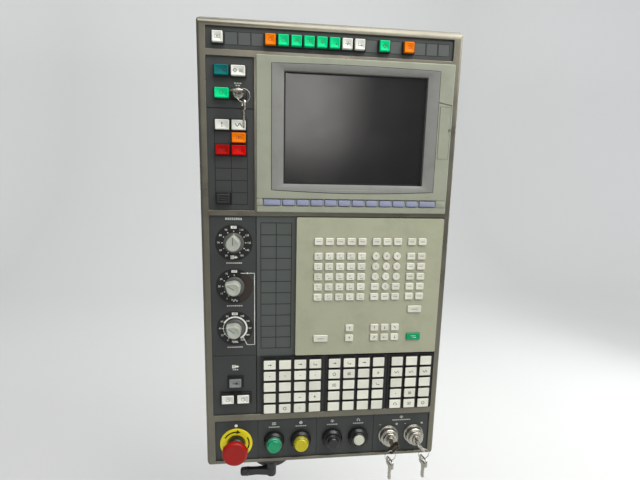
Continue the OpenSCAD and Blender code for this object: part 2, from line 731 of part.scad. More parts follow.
// ---------------------------------------------------------- keyboard unit
key_gap = 0.3;
function square_places() = concat(
  [for (x = key_cols) [x, top_row_z]],
  [for (c = [0:9]) for (r = [0:4]) if (c < 5 || c > 7 || r > 3 || (r == 3 && c != 6))
    [key_cols[c], key_rows[r]]],
  [for (z = [cursor_z, cursor_z + cursor_step]) for (i = [0:2]) [key_cols[5] + 2.4 + i * key_pitch_x, z]],
  [for (z = [cursor_z, cursor_z + cursor_step]) [key_cols[3] + 1.5, z]]
);
function round_places() = [
  for (c = [5:7]) for (r = [0:3]) if (r < 3 || c == 6) [key_cols[c], key_rows[r]]
];
function wide_places() = [
  [keys_x0 + 6.3, cursor_z], [key_cols[8] + 11.4, cursor_z], [key_cols[8] + 10.6, key_rows[4] - 21.5]
];

face_back = 2;
skirt_back = 9;
skirt_t = 2.6;
skirt = carrier_lap + 0.4;
module keyboard_plate() color(putty) on_panel() difference() {
  union() {
    translate([(keyboard_x0 + keyboard_x1) / 2, 0, (keyboard_z0 + keyboard_z1) / 2])
      slab(-keyboard_proud, plate_y0) round_rect(keyboard_w, keyboard_h, 2);
    block(keyboard_x0 + skirt, keyboard_z0 + skirt, keyboard_x1 - skirt, keyboard_z1 - skirt,
          plate_y0 - eps, skirt_back);
  }
  block(keyboard_x0 + skirt + skirt_t, keyboard_z0 + skirt + skirt_t, keyboard_x1 - skirt - skirt_t,
        keyboard_z1 - skirt - skirt_t, face_back, skirt_back + 1);
  for (p = square_places()) at(p[0], p[1])
    slab(-far, far) round_rect(key_w + 2 * key_gap, key_h + 2 * key_gap, 1.6);
  for (p = wide_places()) at(p[0], p[1])
    slab(-far, far) round_rect(wide_key_w + 2 * key_gap, key_h + 2 * key_gap, 1.6);
  for (p = round_places()) at(p[0], p[1]) disc(key_h + 1 + 2 * key_gap, -far, far);
}

key_front = -keyboard_proud - 2.2;
key_back = 11;
module keyboard_keys() color(ivory) on_panel() {
  for (p = square_places()) at(p[0], p[1]) slab(key_front, key_back) round_rect(key_w, key_h, 1.4);
  for (p = wide_places()) at(p[0], p[1]) slab(key_front, key_back) round_rect(wide_key_w, key_h, 1.4);
  for (p = round_places()) at(p[0], p[1]) disc(key_h + 1, key_front, key_back);
}

module matrix_keys() color(ivory) on_panel() for (x = matrix_cols) for (z = matrix_rows) at(x, z)
  eased_cap(matrix_key_w, matrix_key_h, 1, cap_front, key_back);

// ------------------------------------------------------ sockets and caps
socket_rim = 2 * (cap_gap + socket_wall);
module square_socket(w, h) difference() {
  union() {
    pad(w + socket_rim, h + socket_rim, socket_front, socket_back);
    pad(w + socket_rim + 2 * socket_lip, h + socket_rim + 2 * socket_lip, 0, plate_y0);
  }
  pad(w + 2 * cap_gap, h + 2 * cap_gap, -far, socket_floor);
}

ring_proud = 8;
module bezel_ring() turned([
  [lens_r + collar_gap, -neck_back], [neck_d / 2, -neck_back],
  [neck_d / 2, -plate_y0], [ring_d / 2, -plate_y0],
  [ring_d / 2, ring_proud - 4], [ring_d / 2 - 3, ring_proud], [lens_top_r + collar_gap, ring_proud],
  [lens_top_r + collar_gap, 3], [lens_r + collar_gap, 3]
]);
neck_back = 12;
lens_r = neck_d / 2 - 3;
lens_top_r = 12.4;

module button_sockets() color(jet) on_panel() {
  for (i = strip_used) at(strip_x(i), strip_z) square_socket(strip_cap, strip_cap);
  for (p = column_places) if (p != [cell_x[1], lamp_z[1]]) at(p[0], p[1]) square_socket(cap_w, cap_h);
  for (i = [0:3]) at(control_x[i], control_z) bezel_ring();
  at(dial_x, tool_lamp_z) square_socket(matrix_key_w, matrix_key_h);
  for (x = tool_key_x) at(x, tool_key_z) square_socket(matrix_key_w, matrix_key_h);
  at(stop_x, stop_z) {
    stop_ring_plate();
    stop_collar();
  }
}

// Cap with rounded corners and an eased front edge
ease = 0.9;
module eased_cap(w, h, r, y0, y1) intersection() {
  slab(y0, y1) round_rect(w, h, r);
  rotate([90, 0, 90]) linear_extrude(far, center = true) polygon([
    [y0, -h / 2 + ease], [y0 + ease, -h / 2], [y1, -h / 2],
    [y1, h / 2], [y0 + ease, h / 2], [y0, h / 2 - ease]
  ]);
  linear_extrude(far, center = true) polygon([
    [-w / 2 + ease, y0], [-w / 2, y0 + ease], [-w / 2, y1],
    [w / 2, y1], [w / 2, y0 + ease], [w / 2 - ease, y0]
  ]);
}
module square_cap(w, h) eased_cap(w, h, 1, cap_front, cap_back);

module strip_button(i, tint) color(tint) on_panel() at(strip_x(i), strip_z)
  square_cap(strip_cap, strip_cap);
module column_button(x, z, tint) color(tint) on_panel() at(x, z) square_cap(cap_w, cap_h);

module black_button() color(jet) on_panel() at(cell_x[0], cell_rows[6]) difference() {
  square_cap(cap_w, cap_h);
  // finger hollow with three ribs left standing
  for (z = [-3.2, 0, 3.2]) translate([0, cap_front, z]) rotate([0, 90, 0])
    cylinder(r = 1.1, h = cap_w - 7, center = true);
}

module tool_lamp_key() color([0.45, 0.46, 0.46]) on_panel() at(dial_x, tool_lamp_z)
  square_cap(matrix_key_w, matrix_key_h);
module tool_keys() color(ivory) on_panel() for (x = tool_key_x) at(x, tool_key_z)
  square_cap(matrix_key_w, matrix_key_h);

// --------------------------------------------------------- round controls
// Stem and underside of a pressed control, up to the rim of its head
lens_travel = 4;
stem_back = -neck_back + 4;
lens_stem = [
  [0, stem_back], [lens_r, stem_back], [lens_r, lens_travel + 3.4], [lens_top_r, lens_travel + 3.4]
];
module lens_button() turned(concat(lens_stem, [
  [lens_top_r, lens_reach - 5], [lens_top_r - 1.6, lens_reach - 3.4], [lens_top_r - 1.6, lens_reach - 1],
  [lens_top_r - 2.6, lens_reach], [0, lens_reach]
]));

module start_button() color(cap_green) on_panel() at(control_x[0], control_z) lens_button();
module hold_button() color([0.85, 0.80, 0.12]) on_panel() at(control_x[1], control_z) lens_button();
module lock_button() color(jet) on_panel() at(control_x[2], control_z) turned(concat(lens_stem, [
  [lens_top_r, 10], [9.6, 11], [9.6, lens_reach - 2], [8.2, lens_reach], [0, lens_reach]
]));
module release_button() color(ivory) on_panel() at(control_x[3], control_z) turned(concat(lens_stem, [
  [lens_top_r, 9], [lens_top_r - 1.4, 10.5], [0, 10.5]
]));

collar_proud = 11;
stop_stem_r = 8.5;
stop_travel = 4;
stop_plate_t = 1.5;
module stop_ring_plate() turned([
  [neck_d / 2 + 4, -plate_y0], [stop_plate_d / 2, -plate_y0],
  [stop_plate_d / 2, stop_plate_t - plate_y0], [neck_d / 2 + 4, stop_plate_t - plate_y0]
]);
module stop_collar() turned([
  [stop_stem_r + collar_gap, -neck_back - 2], [neck_d / 2, -neck_back - 2], [neck_d / 2, -plate_y0],
  [neck_d / 2 + 3.8, -plate_y0], [neck_d / 2 + 3.8, collar_proud - 2], [neck_d / 2 + 2, collar_proud],
  [stop_stem_r + collar_gap, collar_proud]
]);

stop_under = collar_proud + stop_travel + 0.5;
module stop_head() color([0.75, 0.09, 0.07]) on_panel() at(stop_x, stop_z) turned([
  [0, stem_back], [stop_stem_r, stem_back], [stop_stem_r, stop_under],
  [stop_d / 2 - 5, stop_under], [stop_d / 2 - 1.6, stop_under + 2],
  [stop_d / 2, stop_under + 5], [stop_d / 2, stop_reach - 3.5],
  [stop_d / 2 - 1.2, stop_reach - 1.2], [stop_d / 2 - 3.5, stop_reach], [0, stop_reach]
]);

knob_neck_d = 12;
knob_shaft_r = 3;
knob_h = 17;
grip_r = 10.5;
nose = 15;
nose_a = asin(grip_r / nose);
module selector_knob(z, angle) on_panel() at(dial_x, z) rotate([0, angle, 0]) {
  turned([[0, -12], [knob_shaft_r, -12], [knob_shaft_r, -plate_y0],
          [knob_neck_d / 2, -plate_y0], [knob_neck_d / 2, seat - plate_y0],
          [knob_skirt_r, seat - plate_y0], [knob_skirt_r, 1.5], [knob_skirt_r - 1, 2.5], [0, 2.5]]);
  // teardrop grip with a pointed nose
  slab(-knob_h, -2) {
    circle(grip_r);
    // flanks drawn as tangents from the nose to the round
    polygon([
      [-grip_r * cos(nose_a), grip_r * sin(nose_a)], [0, nose], [grip_r * cos(nose_a), grip_r * sin(nose_a)]
    ]);
  }
}
module spindle_knob() color([0.62, 0.64, 0.62]) selector_knob(dial_z[0], 0);
module rapid_knob() color([0.62, 0.64, 0.62]) selector_knob(dial_z[1], -58);
module feed_knob() color([0.62, 0.64, 0.62]) selector_knob(dial_z[2], -55);

// ------------------------------------------------------- locks and keys
small_lock_d = 15;
small_plug_d = 9;
module lock_body() turned([
  [plug_d / 2 + seat, -neck_back - 2], [neck_d / 2, -neck_back - 2], [neck_d / 2, -plate_y0],
  [ring_d / 2, -plate_y0], [ring_d / 2, 0], [lock_d / 2, 0.6], [lock_d / 2, 8], [lock_d / 2 - 1.5, 9.5],
  [lock_d / 2 - 3, 9.5], [lock_d / 2 - 3, lock_reach - 1], [lock_d / 2 - 4, lock_reach],
  [plug_d / 2 + seat, lock_reach]
]);
module lock_bodies() color(chrome) on_panel() {
  for (i = [4, 5]) at(control_x[i], control_z) lock_body();
  at(cell_x[1], lamp_z[1]) difference() {
    union() {
      pad(cap_w + 2.4, cap_h + 2.4, socket_front, socket_back);
      turned([[0, 0], [small_lock_d / 2, 0], [small_lock_d / 2, 4], [small_lock_d / 2 - 1, 5], [0, 5]]);
    }
    disc(small_plug_d + 2 * seat, -far, socket_back - 2);
  }
}

blade_l = 22;
blade_w = 7;
hole_w = 14;
hole_h = 5.4;
// A flat key in its own plane: x across, y from the bow's far end to the tip
module key_outline() difference() {
  union() {
    translate([0, bow_l / 2]) round_rect(bow_w, bow_l, 5);
    translate([-blade_w / 2, bow_l - 1]) square([blade_w, blade_l - 1]);
    polygon([
      [-blade_w / 2, bow_l + blade_l - 2.01], [blade_w / 2, bow_l + blade_l - 2.01],
      [1, bow_l + blade_l], [-1, bow_l + blade_l]
    ]);
  }
  translate([0, 5]) round_rect(hole_w, hole_h, hole_h / 2 - 0.01);
  // cuts along one edge of the blade
  for (i = [0:3]) translate([blade_w / 2, bow_l + 5 + i * 4])
    rotate(45) square(1.6 + (i % 2) * 0.7, center = true);
}

// A plug with its key in it. "turn" is the angle of the bow from upright.
key_sink = 14;
hole_y = 5;
function bow_y(face) = -face + key_sink - bow_l - blade_l;
module plug_and_key(x, z, face, d, plug_y1, turn) on_panel() at(x, z) {
  difference() {
    disc(d, -face, plug_y1);
    rotate([0, turn, 0]) pad(key_t + 0.4, blade_w + 0.4, -far, key_sink - face + 0.5);
  }
  rotate([0, turn, 0]) translate([-key_t / 2, bow_y(face), 0]) rotate([90, 0, 90]) mirror([1, 0])
    rotate(90) linear_extrude(key_t) key_outline();
}

// Ring hung on one end of the bow's slot, clear of it as the key turns under
// it, with a spare key on the ring. "side" is the end that it hangs from.
bridge_w = (bow_w - hole_w) / 2;
bridge = bow_w / 2 - bridge_w / 2;
ring_drop = ring_r - ring_wire / 2 - norm([bridge_w / 2, key_t / 2]) - 0.1;
module ring_and_spare(x, z, face, turn, side) on_panel() at(x, z)
  translate([side * bridge * sin(turn), bow_y(face) + hole_y, side * bridge * cos(turn) - ring_drop]) {
    rotate([90, 0, 0]) rotate_extrude() translate([ring_r, 0]) circle(d = ring_wire, $fn = 24);
    translate([-key_t / 2, 0, -ring_r + hole_y - hole_h / 2 + ring_wire / 2 + seat])
      rotate([90, 0, 90]) mirror([0, 1]) linear_extrude(key_t) key_outline();
  }

module power_key() color(chrome) plug_and_key(cell_x[1], lamp_z[1], 6, small_plug_d, socket_back - 2.5, 90);
module power_key_ring() color(chrome) ring_and_spare(cell_x[1], lamp_z[1], 6, 90, 1);
module setup_key() color(chrome) plug_and_key(control_x[4], control_z, plug_reach, plug_d, neck_back, 45);
module setup_key_ring() color(chrome) ring_and_spare(control_x[4], control_z, plug_reach, 45, -1);
module edit_key() color(chrome) plug_and_key(control_x[5], control_z, plug_reach, plug_d, neck_back, -45);
module edit_key_ring() color(chrome) ring_and_spare(control_x[5], control_z, plug_reach, -45, -1);

// ------------------------------------------------------------- assembly
swivel_bracket();
clamp_lever();
swivel_disc();
fasteners();
housing();
rear_cover();
front_frame();
top_plate();
upper_left_plate();
override_plate();
keyboard_carrier();
matrix_tray();
bottom_plate();
display_bezel();
screen();
control_case();
electrics();
card_door();
soft_keys();
keyboard_plate();
keyboard_keys();
matrix_keys();
button_sockets();
stop_head();
start_button();
hold_button();
lock_button();
release_button();
lock_bodies();
power_key();
power_key_ring();
setup_key();
setup_key_ring();
edit_key();
edit_key_ring();
spindle_knob();
rapid_knob();
feed_knob();
strip_button(0, ivory);  // strip_white_1
strip_button(4, cap_orange);  // strip_orange_1
strip_button(5, cap_green);  // strip_green_1
strip_button(6, cap_green);  // strip_green_2
strip_button(7, cap_green);  // strip_green_3
strip_button(8, cap_green);  // strip_green_4
strip_button(9, cap_green);  // strip_green_5
strip_button(10, ivory);  // strip_white_2
strip_button(11, ivory);  // strip_white_3
strip_button(13, cap_green);  // strip_green_6
strip_button(15, cap_orange);  // strip_orange_2
column_button(cell_x[0], lamp_z[0], cap_teal);  // teal_button
column_button(cell_x[1], lamp_z[0], ivory);  // white_button
column_button(cell_x[0], lamp_z[1], cap_green);  // green_button
column_button(cell_x[0], cell_rows[0], ivory);  // alarm_button
column_button(cell_x[1], cell_rows[0], ivory);  // wave_button
column_button(cell_x[1], cell_rows[1], cap_orange);  // orange_button
column_button(cell_x[0], cell_rows[2], cap_red);  // red_button_1
column_button(cell_x[1], cell_rows[2], cap_red);  // red_button_2
black_button();
tool_lamp_key();
tool_keys();
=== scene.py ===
"""Looks of a machine tool's operator control panel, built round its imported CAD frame.

Places are worked out in the panel's own millimetres: x runs from the middle of the
cast frame, y from its front face (towards the back) and z from its bottom edge.
"""

import json
import logging
import math
from dataclasses import dataclass
from enum import Enum
from functools import lru_cache
from typing import Callable, Iterable, Optional, Sequence, Union

import bmesh
import bpy
import numpy as np
from mathutils import Matrix, Vector
from mathutils.geometry import delaunay_2d_cdt


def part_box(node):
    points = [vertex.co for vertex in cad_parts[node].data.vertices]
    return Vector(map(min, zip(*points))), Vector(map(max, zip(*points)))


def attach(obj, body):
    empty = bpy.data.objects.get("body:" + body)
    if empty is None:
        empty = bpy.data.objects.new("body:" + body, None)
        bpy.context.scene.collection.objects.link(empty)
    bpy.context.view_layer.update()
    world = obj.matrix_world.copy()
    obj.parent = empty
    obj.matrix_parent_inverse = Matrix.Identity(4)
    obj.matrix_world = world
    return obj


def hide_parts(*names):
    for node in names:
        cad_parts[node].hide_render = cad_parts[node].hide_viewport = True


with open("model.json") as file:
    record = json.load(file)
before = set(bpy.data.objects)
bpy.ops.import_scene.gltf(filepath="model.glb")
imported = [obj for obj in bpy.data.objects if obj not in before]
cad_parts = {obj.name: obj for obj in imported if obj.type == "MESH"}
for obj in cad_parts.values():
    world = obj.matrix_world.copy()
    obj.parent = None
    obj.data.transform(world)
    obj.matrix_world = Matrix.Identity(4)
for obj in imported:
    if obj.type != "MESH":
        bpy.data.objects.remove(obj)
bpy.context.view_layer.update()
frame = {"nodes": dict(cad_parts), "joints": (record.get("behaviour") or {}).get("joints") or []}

LOG = logging.getLogger("operator_panel")
MM = 0.001
TAU = 2.0 * math.pi
# Print stands a little proud of its face and reaches a little into it, in millimetres.
INK_RISE = 0.05
INK_SINK = 0.03
# Corners are rounded over no more than this share of a side.
EASE_LIMIT = 0.45
# Half the width of an arrow head over its length.
ARROW_SPREAD = 0.55
# Edges that turn more than this many degrees stay crisp on most pieces.
CRISP = 38.0

Array = np.ndarray
Pair = tuple[float, float]
Triple = tuple[float, float, float]
Colour = tuple[float, float, float, float]
Profile = Sequence[Pair]


def panel_origin() -> Array:
    """Returns the origin of the panel's own millimetres, in metres, from the cast frame's box."""
    low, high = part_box("front_frame")
    return np.array([(low.x + high.x) / 2, low.y, low.z])


ORIGIN = panel_origin()


def to_world(points: Array) -> Array:
    """Returns points given in the panel's millimetres as metres in the row frame."""
    return points * MM + ORIGIN


def to_panel(points: Array) -> Array:
    """Returns points given in metres in the row frame as the panel's millimetres."""
    return (points - ORIGIN) / MM


@dataclass
class Span:
    """Box of a piece in the panel's millimetres."""

    low: Array
    high: Array

    @property
    def middle(self) -> Array:
        """Centre of the box."""
        return (self.low + self.high) / 2

    @property
    def width(self) -> float:
        """Size along x."""
        return float(self.high[0] - self.low[0])

    @property
    def height(self) -> float:
        """Size along z."""
        return float(self.high[2] - self.low[2])

    @property
    def front(self) -> float:
        """Depth of the box's front."""
        return float(self.low[1])

    @property
    def is_round(self) -> bool:
        """Whether the piece is as wide as it is high, as only round keys are."""
        return abs(self.width - self.height) < 0.2


def span(node: str) -> Span:
    """Returns the box of a CAD node in the panel's millimetres."""
    low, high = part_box(node)
    return Span(to_panel(np.array(low)), to_panel(np.array(high)))


def joint_place(name: str) -> Array:
    """Returns a joint's place in the panel's millimetres."""
    found = next(j for j in frame["joints"] if j["name"] == name)
    return to_panel(np.array(found["pos_m"]))


# ---------------------------------------------------------------- surfaces


@dataclass
class Shell:
    """Points in the panel's millimetres and the polygons between them.

    faces holds arrays of polygons, one array for each number of corners.
    """

    points: Array
    faces: list[Array]

    @staticmethod
    def join(shells: Iterable["Shell"]) -> "Shell":
        """Makes one shell of many.

        Args:
            shells: the shells to put together.

        Returns:
            A shell with the points and polygons of all, numbered through.
        """
        points: list[Array] = []
        faces: list[Array] = []
        count = 0
        for shell in shells:
            points.append(shell.points)
            faces.extend(f + count for f in shell.faces)
            count += len(shell.points)
        return Shell(np.concatenate(points), faces)

    def moved(self, x: float = 0.0, y: float = 0.0, z: float = 0.0) -> "Shell":
        """Returns the shell shifted by x, y and z."""
        return Shell(self.points + np.array([x, y, z]), self.faces)

    def at(self, place: Array, right: float = 0.0, up: float = 0.0) -> "Shell":
        """Returns the shell moved to a place across the panel's face, then right and up."""
        return self.moved(place[0] + right, 0.0, place[2] + up)

    def swung(self, degrees: float) -> "Shell":
        """Turns the shell about the panel's normal.

        Args:
            degrees: how far, clockwise as seen from the front.

        Returns:
            The turned shell.
        """
        c, s = math.cos(math.radians(degrees)), math.sin(math.radians(degrees))
        turn = np.array([[c, 0, s], [0, 1, 0], [-s, 0, c]])
        return Shell(self.points @ turn.T, self.faces)

    def repeated(self, places: Iterable[Sequence[float]]) -> "Shell":
        """Copies the shell across the panel's face.

        Args:
            places: where the copies stand, of which only x and z count.

        Returns:
            One shell of all copies.
        """
        spots = np.array([[p[0], 0.0, p[2]] for p in places])
        points = (spots[:, None, :] + self.points[None]).reshape(-1, 3)
        steps = np.arange(len(spots))[:, None, None] * len(self.points)
        return Shell(points, [(steps + f[None]).reshape(-1, f.shape[1]) for f in self.faces])


def skin(rings: Array, closed: bool) -> Shell:
    """Covers closed rings of points with four-sided faces, each ring joined to the next.

    Args:
        rings: points as an array of ring, point and 3.
        closed: whether the last ring is joined to the first one.

    Returns:
        The shell, in which point j of ring i has number i * points + j.
    """
    count, size = rings.shape[:2]
    i = np.arange(count if closed else count - 1)[:, None]
    j = np.arange(size)[None, :]
    i2, j2 = (i + 1) % count, (j + 1) % size
    quads = np.stack([i * size + j, i2 * size + j, i2 * size + j2, i * size + j2], axis=-1)
    return Shell(rings.reshape(-1, 3), [quads.reshape(-1, 4)])


def lofted(rings: Array, closed: bool = False) -> Shell:
    """Closed body over rings of points.

    Args:
        rings: points as an array of ring, point and 3.
        closed: whether the last ring is joined to the first one. If not, both end rings
            get a flat lid.

    Returns:
        The shell.
    """
    shell = skin(rings, closed)
    if not closed:
        ends = np.arange(rings.shape[1])
        shell.faces.append(np.stack([ends, (len(rings) - 1) * rings.shape[1] + ends]))
    return shell


def rounded_rectangle(width: Array, height: Array, radius: Array, steps: int = 5) -> Array:
    """Outlines of rounded rectangles about the origin.

    Each corner's points lie at its centre plus the radius times the cosine and sine of an
    angle that runs through a quarter turn.

    Args:
        width, height, radius: one value for each outline.
        steps: points on each corner.

    Returns:
        Array of outline, point and (x, z).
    """
    corner = np.arange(4)
    angle = (corner[:, None] + np.linspace(0, 1, steps)[None]) * (TAU / 4)
    sign_x = np.array([1, -1, -1, 1])
    sign_z = np.array([1, 1, -1, -1])
    w, h, r = (np.asarray(a, float)[:, None, None] for a in (width, height, radius))
    x = sign_x[:, None] * (w / 2 - r) + r * np.cos(angle)
    z = sign_z[:, None] * (h / 2 - r) + r * np.sin(angle)
    return np.stack([x, z], axis=-1).reshape(len(w), -1, 2)


def stood_up(outlines: Array, depth: Sequence[float]) -> Array:
    """Outlines of (x, z) points set at their depths, one for each outline."""
    y = np.broadcast_to(np.asarray(depth, float)[:, None], outlines.shape[:2])
    return np.stack([outlines[..., 0], y, outlines[..., 1]], axis=-1)


def sunk(front: float, rows: Profile, *back: Pair) -> list[Pair]:
    """Returns the back's rows, then (inset, depth) rows with depths counted from a front."""
    return [*back, *((inset, front + depth) for inset, depth in rows)]


def cushion_block(width: float, height: float, radius: float, profile: Profile,
                  steps: int = 5) -> Shell:
    """Rounded block drawn in towards its front along a profile.

    Each ring is the outline less the row's inset on every side, with its corners' radius
    less the same amount, but never under a tenth of a millimetre.

    Args:
        width, height, radius: size of the block and radius of its corners.
        profile: rows of inset and depth, from the back to the front.
        steps: points on each corner.

    Returns:
        The shell about the origin.
    """
    inset, depth = np.asarray(profile, float).T
    corners = np.maximum(radius - inset, 0.1)
    rings = rounded_rectangle(width - 2 * inset, height - 2 * inset, corners, steps)
    return lofted(stood_up(rings, depth))


def turned(profile: Profile, segments: int = 48) -> Shell:
    """Body turned about the panel's normal.

    x is the radius times the cosine and z the radius times the sine of the turn, and the
    height proud of the frame's face points to the front.

    Args:
        profile: rows of radius and height proud. Where both ends have a radius, it closes.
        segments: steps round the body.

    Returns:
        The shell about the origin.
    """
    radius, proud = np.asarray(profile, float).T
    a = np.linspace(0, TAU, segments, endpoint=False)
    rings = np.stack([
        radius[:, None] * np.cos(a),
        np.broadcast_to(-proud[:, None], (len(radius), segments)),
        radius[:, None] * np.sin(a),
    ], axis=-1)
    return skin(rings, closed=bool(radius[0] > 0 and radius[-1] > 0))


def eased(points: Profile, radius: float, steps: int = 4, closed: bool = False) -> Array:
    """Profile whose corners are rounded.

    At each corner the curve is the quadratic one between two points that lie the radius (or
    under half the side, where it is shorter) before and after it, with the corner as its pole.

    Args:
        points: the corners.
        radius: how far before and after a corner its curve begins and ends.
        steps: points on each curve.
        closed: whether the first and last corners are rounded too.

    Returns:
        Array of the profile's points.
    """
    p = np.asarray(points, float)
    before, after = np.roll(p, 1, axis=0), np.roll(p, -1, axis=0)
    reach_a = np.linalg.norm(before - p, axis=1, keepdims=True)
    reach_b = np.linalg.norm(after - p, axis=1, keepdims=True)
    start = p + (before - p) * np.minimum(radius / reach_a, EASE_LIMIT)
    end = p + (after - p) * np.minimum(radius / reach_b, EASE_LIMIT)
    t = np.linspace(0, 1, steps)[None, :, None]
    curve = (1 - t) ** 2 * start[:, None] + 2 * t * (1 - t) * p[:, None] + t ** 2 * end[:, None]
    if closed:
        return curve.reshape(-1, 2)
    return np.concatenate([p[:1], curve[1:-1].reshape(-1, 2), p[-1:]])


@dataclass(frozen=True)
class Lathed:
    """Turned piece of a profile whose corners are rounded.

    Attributes:
        points: corners of the profile, as radius and height proud.
        ease: how far before and after a corner its curve begins and ends.
        closed: whether the profile closes.
        segments: steps round the piece.
        steps: points on each curve.
    """

    points: Profile
    ease: float = 0.5
    closed: bool = False
    segments: int = 72
    steps: int = 4

    def shell(self) -> Shell:
        """Returns the shell about the origin."""
        return turned(eased(self.points, self.ease, self.steps, self.closed), self.segments)


def headings(path: Array, closed: bool) -> Array:
    """Directions of length one along a path, from each point's neighbours.

    Args:
        path: points, one to a row.
        closed: whether the last point is joined to the first.

    Returns:
        One direction to a row, as many as points.
    """
    if closed:
        ahead = np.roll(path, -1, axis=0) - np.roll(path, 1, axis=0)
    else:
        ahead = np.gradient(path, axis=0)
    return ahead / np.linalg.norm(ahead, axis=1, keepdims=True)


def swept(path: Array, section: Array) -> Shell:
    """Section carried along an open path in space.

    At each point of the path the section's rows (a, b) lie a along the first normal, which
    is square to the path and to y, and b along the second, square to both.

    Args:
        path: points of the path.
        section: rows (a, b) of the closed section.

    Returns:
        The shell, with a lid on both ends.
    """
    along = headings(path, closed=False)
    first = np.cross(along, np.array([0.0, 1.0, 0.0]))
    first /= np.linalg.norm(first, axis=1, keepdims=True)
    second = np.cross(along, first)
    a, b = section[None, :, :1], section[None, :, 1:]
    return lofted(path[:, None] + a * first[:, None] + b * second[:, None])


# ------------------------------------------------------------------- print


def ribbon(path: Array, width: float, y: float = 0.0, closed: bool = False) -> Shell:
    """Printed line: a thin bar whose edges lie half a width either side of a path.

    Args:
        path: its (x, z) points.
        width: width of the line.
        y: depth of the face that it stands on.
        closed: whether its end meets its start.

    Returns:
        The shell.
    """
    ahead = headings(path, closed)
    side = np.stack([-ahead[:, 1], ahead[:, 0]], axis=1) * width / 2
    left, right = path + side, path - side
    front, back = y - INK_RISE, y + INK_SINK
    section = ((left, front), (right, front), (right, back), (left, back))
    rings = np.stack([np.insert(edge, 1, depth, axis=1) for edge, depth in section], axis=1)
    return lofted(rings, closed)


def patch(outline: Array, y: float = 0.0) -> Shell:
    """Printed field: a thin prism over an (x, z) outline."""
    return lofted(stood_up(np.stack([outline, outline]), [y + INK_SINK, y - INK_RISE]))


def arc(radius: float, start: float, end: float, steps: int = 24) -> Array:
    """Points on a circle between two bearings in degrees, clockwise from upright."""
    a = np.radians(np.linspace(start, end, steps))
    return radius * np.stack([np.sin(a), np.cos(a)], axis=1)


def line(*points: Pair) -> Array:
    """Path through the given (x, z) points."""
    return np.array(points, float)


def disc(radius: float, y: float = 0.0, steps: int = 24) -> Shell:
    """Printed round field."""
    return patch(arc(radius, 0, 360 * (1 - 1 / steps), steps), y)


def box_outline(width: float, height: float) -> Array:
    """Corners of an upright rectangle about the origin."""
    x, z = width / 2, height / 2
    return line((-x, -z), (x, -z), (x, z), (-x, z))


def arrow_head(x: float, z: float, bearing: float, size: float) -> Array:
    """Outline of an arrow head.

    Args:
        x, z: its point.
        bearing: direction that it faces, in degrees clockwise from upright.
        size: its length.

    Returns:
        Its three corners.
    """
    a = math.radians(bearing)
    along = np.array([math.sin(a), math.cos(a)])
    across = np.array([along[1], -along[0]]) * size * ARROW_SPREAD
    tip = np.array([x, z])
    return np.stack([tip, tip - along * size + across, tip - along * size - across])


@dataclass(frozen=True)
class Dashes:
    """Row of dashes that stands where words would.

    Attributes:
        pitch: rough distance from one dash to the next.
        share: share of that distance that is printed.
        height: height of the dashes.
    """

    pitch: float
    share: float
    height: float

    def row(self, width: float, y: float) -> Shell:
        """Prints the row.

        Args:
            width: width of the whole row.
            y: depth of the face that it stands on.

        Returns:
            The shell about the origin.
        """
        count = max(2, round(width / self.pitch))
        pitch = width / count
        x = (np.arange(count) - (count - 1) / 2) * pitch
        dash = patch(box_outline(pitch * self.share, self.height), y)
        return dash.repeated(np.stack([x, 0 * x, 0 * x], axis=1))


PLATE_RULE = Dashes(3.2, 0.72, 1.6)
KEY_BAR = Dashes(2.0, 0.7, 0.9)


class Sign(Enum):
    """Plain signs that may stand on a button or beside a control."""

    RING = "ring"
    DOT = "dot"
    BARS = "bars"
    WAVE = "wave"
    NOTICE = "notice"
    ARROW = "arrow"
    LOOP_ARROW = "loop arrow"
    BOX = "box"
    PLUS = "plus"
    MINUS = "minus"
    TARGET = "target"
    HOOK = "hook"
    SPLIT = "split"


Stroke = tuple[Array, bool]


def stroke(*points: Pair) -> Stroke:
    """Open stroke through the given (x, z) points."""
    return line(*points), False


def level(half: float, z: float = 0.0) -> Stroke:
    """Level stroke that reaches half its length to both sides."""
    return stroke((-half, z), (half, z))


RING_STROKE: Stroke = (arc(0.42, 0, 345, 24), True)
WAVE_X = np.linspace(-0.7, 0.7, 25)
# Strokes, each with a note of whether it closes, and filled outlines of signs one unit high.
SIGN_SHAPES: dict[Sign, tuple[list[Stroke], list[Array]]] = {
    Sign.RING: ([RING_STROKE], []),
    Sign.DOT: ([], [arc(0.3, 0, 337.5, 16)]),
    Sign.BARS: ([level(0.5, z) for z in (-0.3, 0.0, 0.3)], []),
    Sign.WAVE: ([(np.stack([WAVE_X, 0.28 * np.sin(WAVE_X * TAU)], axis=1), False)], []),
    Sign.NOTICE: ([stroke((0, -0.05), (0, 0.5))], [arc(0.11, 0, 330, 12) + line((0, -0.36))]),
    Sign.ARROW: ([stroke((-0.55, 0), (0.2, 0))], [arrow_head(0.62, 0, 90, 0.5)]),
    Sign.LOOP_ARROW: ([(arc(0.4, -150, 110, 24), False)], [arrow_head(0.3, -0.42, 215, 0.36)]),
    Sign.BOX: ([(box_outline(1.1, 0.7), True)], [box_outline(0.3, 0.3)]),
    Sign.PLUS: ([level(0.4), stroke((0, -0.4), (0, 0.4))], []),
    Sign.MINUS: ([level(0.4)], []),
    Sign.TARGET: ([RING_STROKE, level(0.6), stroke((0, -0.6), (0, 0.6))], []),
    Sign.HOOK: ([stroke((-0.45, 0.35), (-0.45, -0.3), (0.3, -0.3))],
                [arrow_head(0.6, -0.3, 90, 0.4)]),
    Sign.SPLIT: ([level(0.6), level(0.3, 0.35)], [arrow_head(0, -0.5, 180, 0.36)]),
}


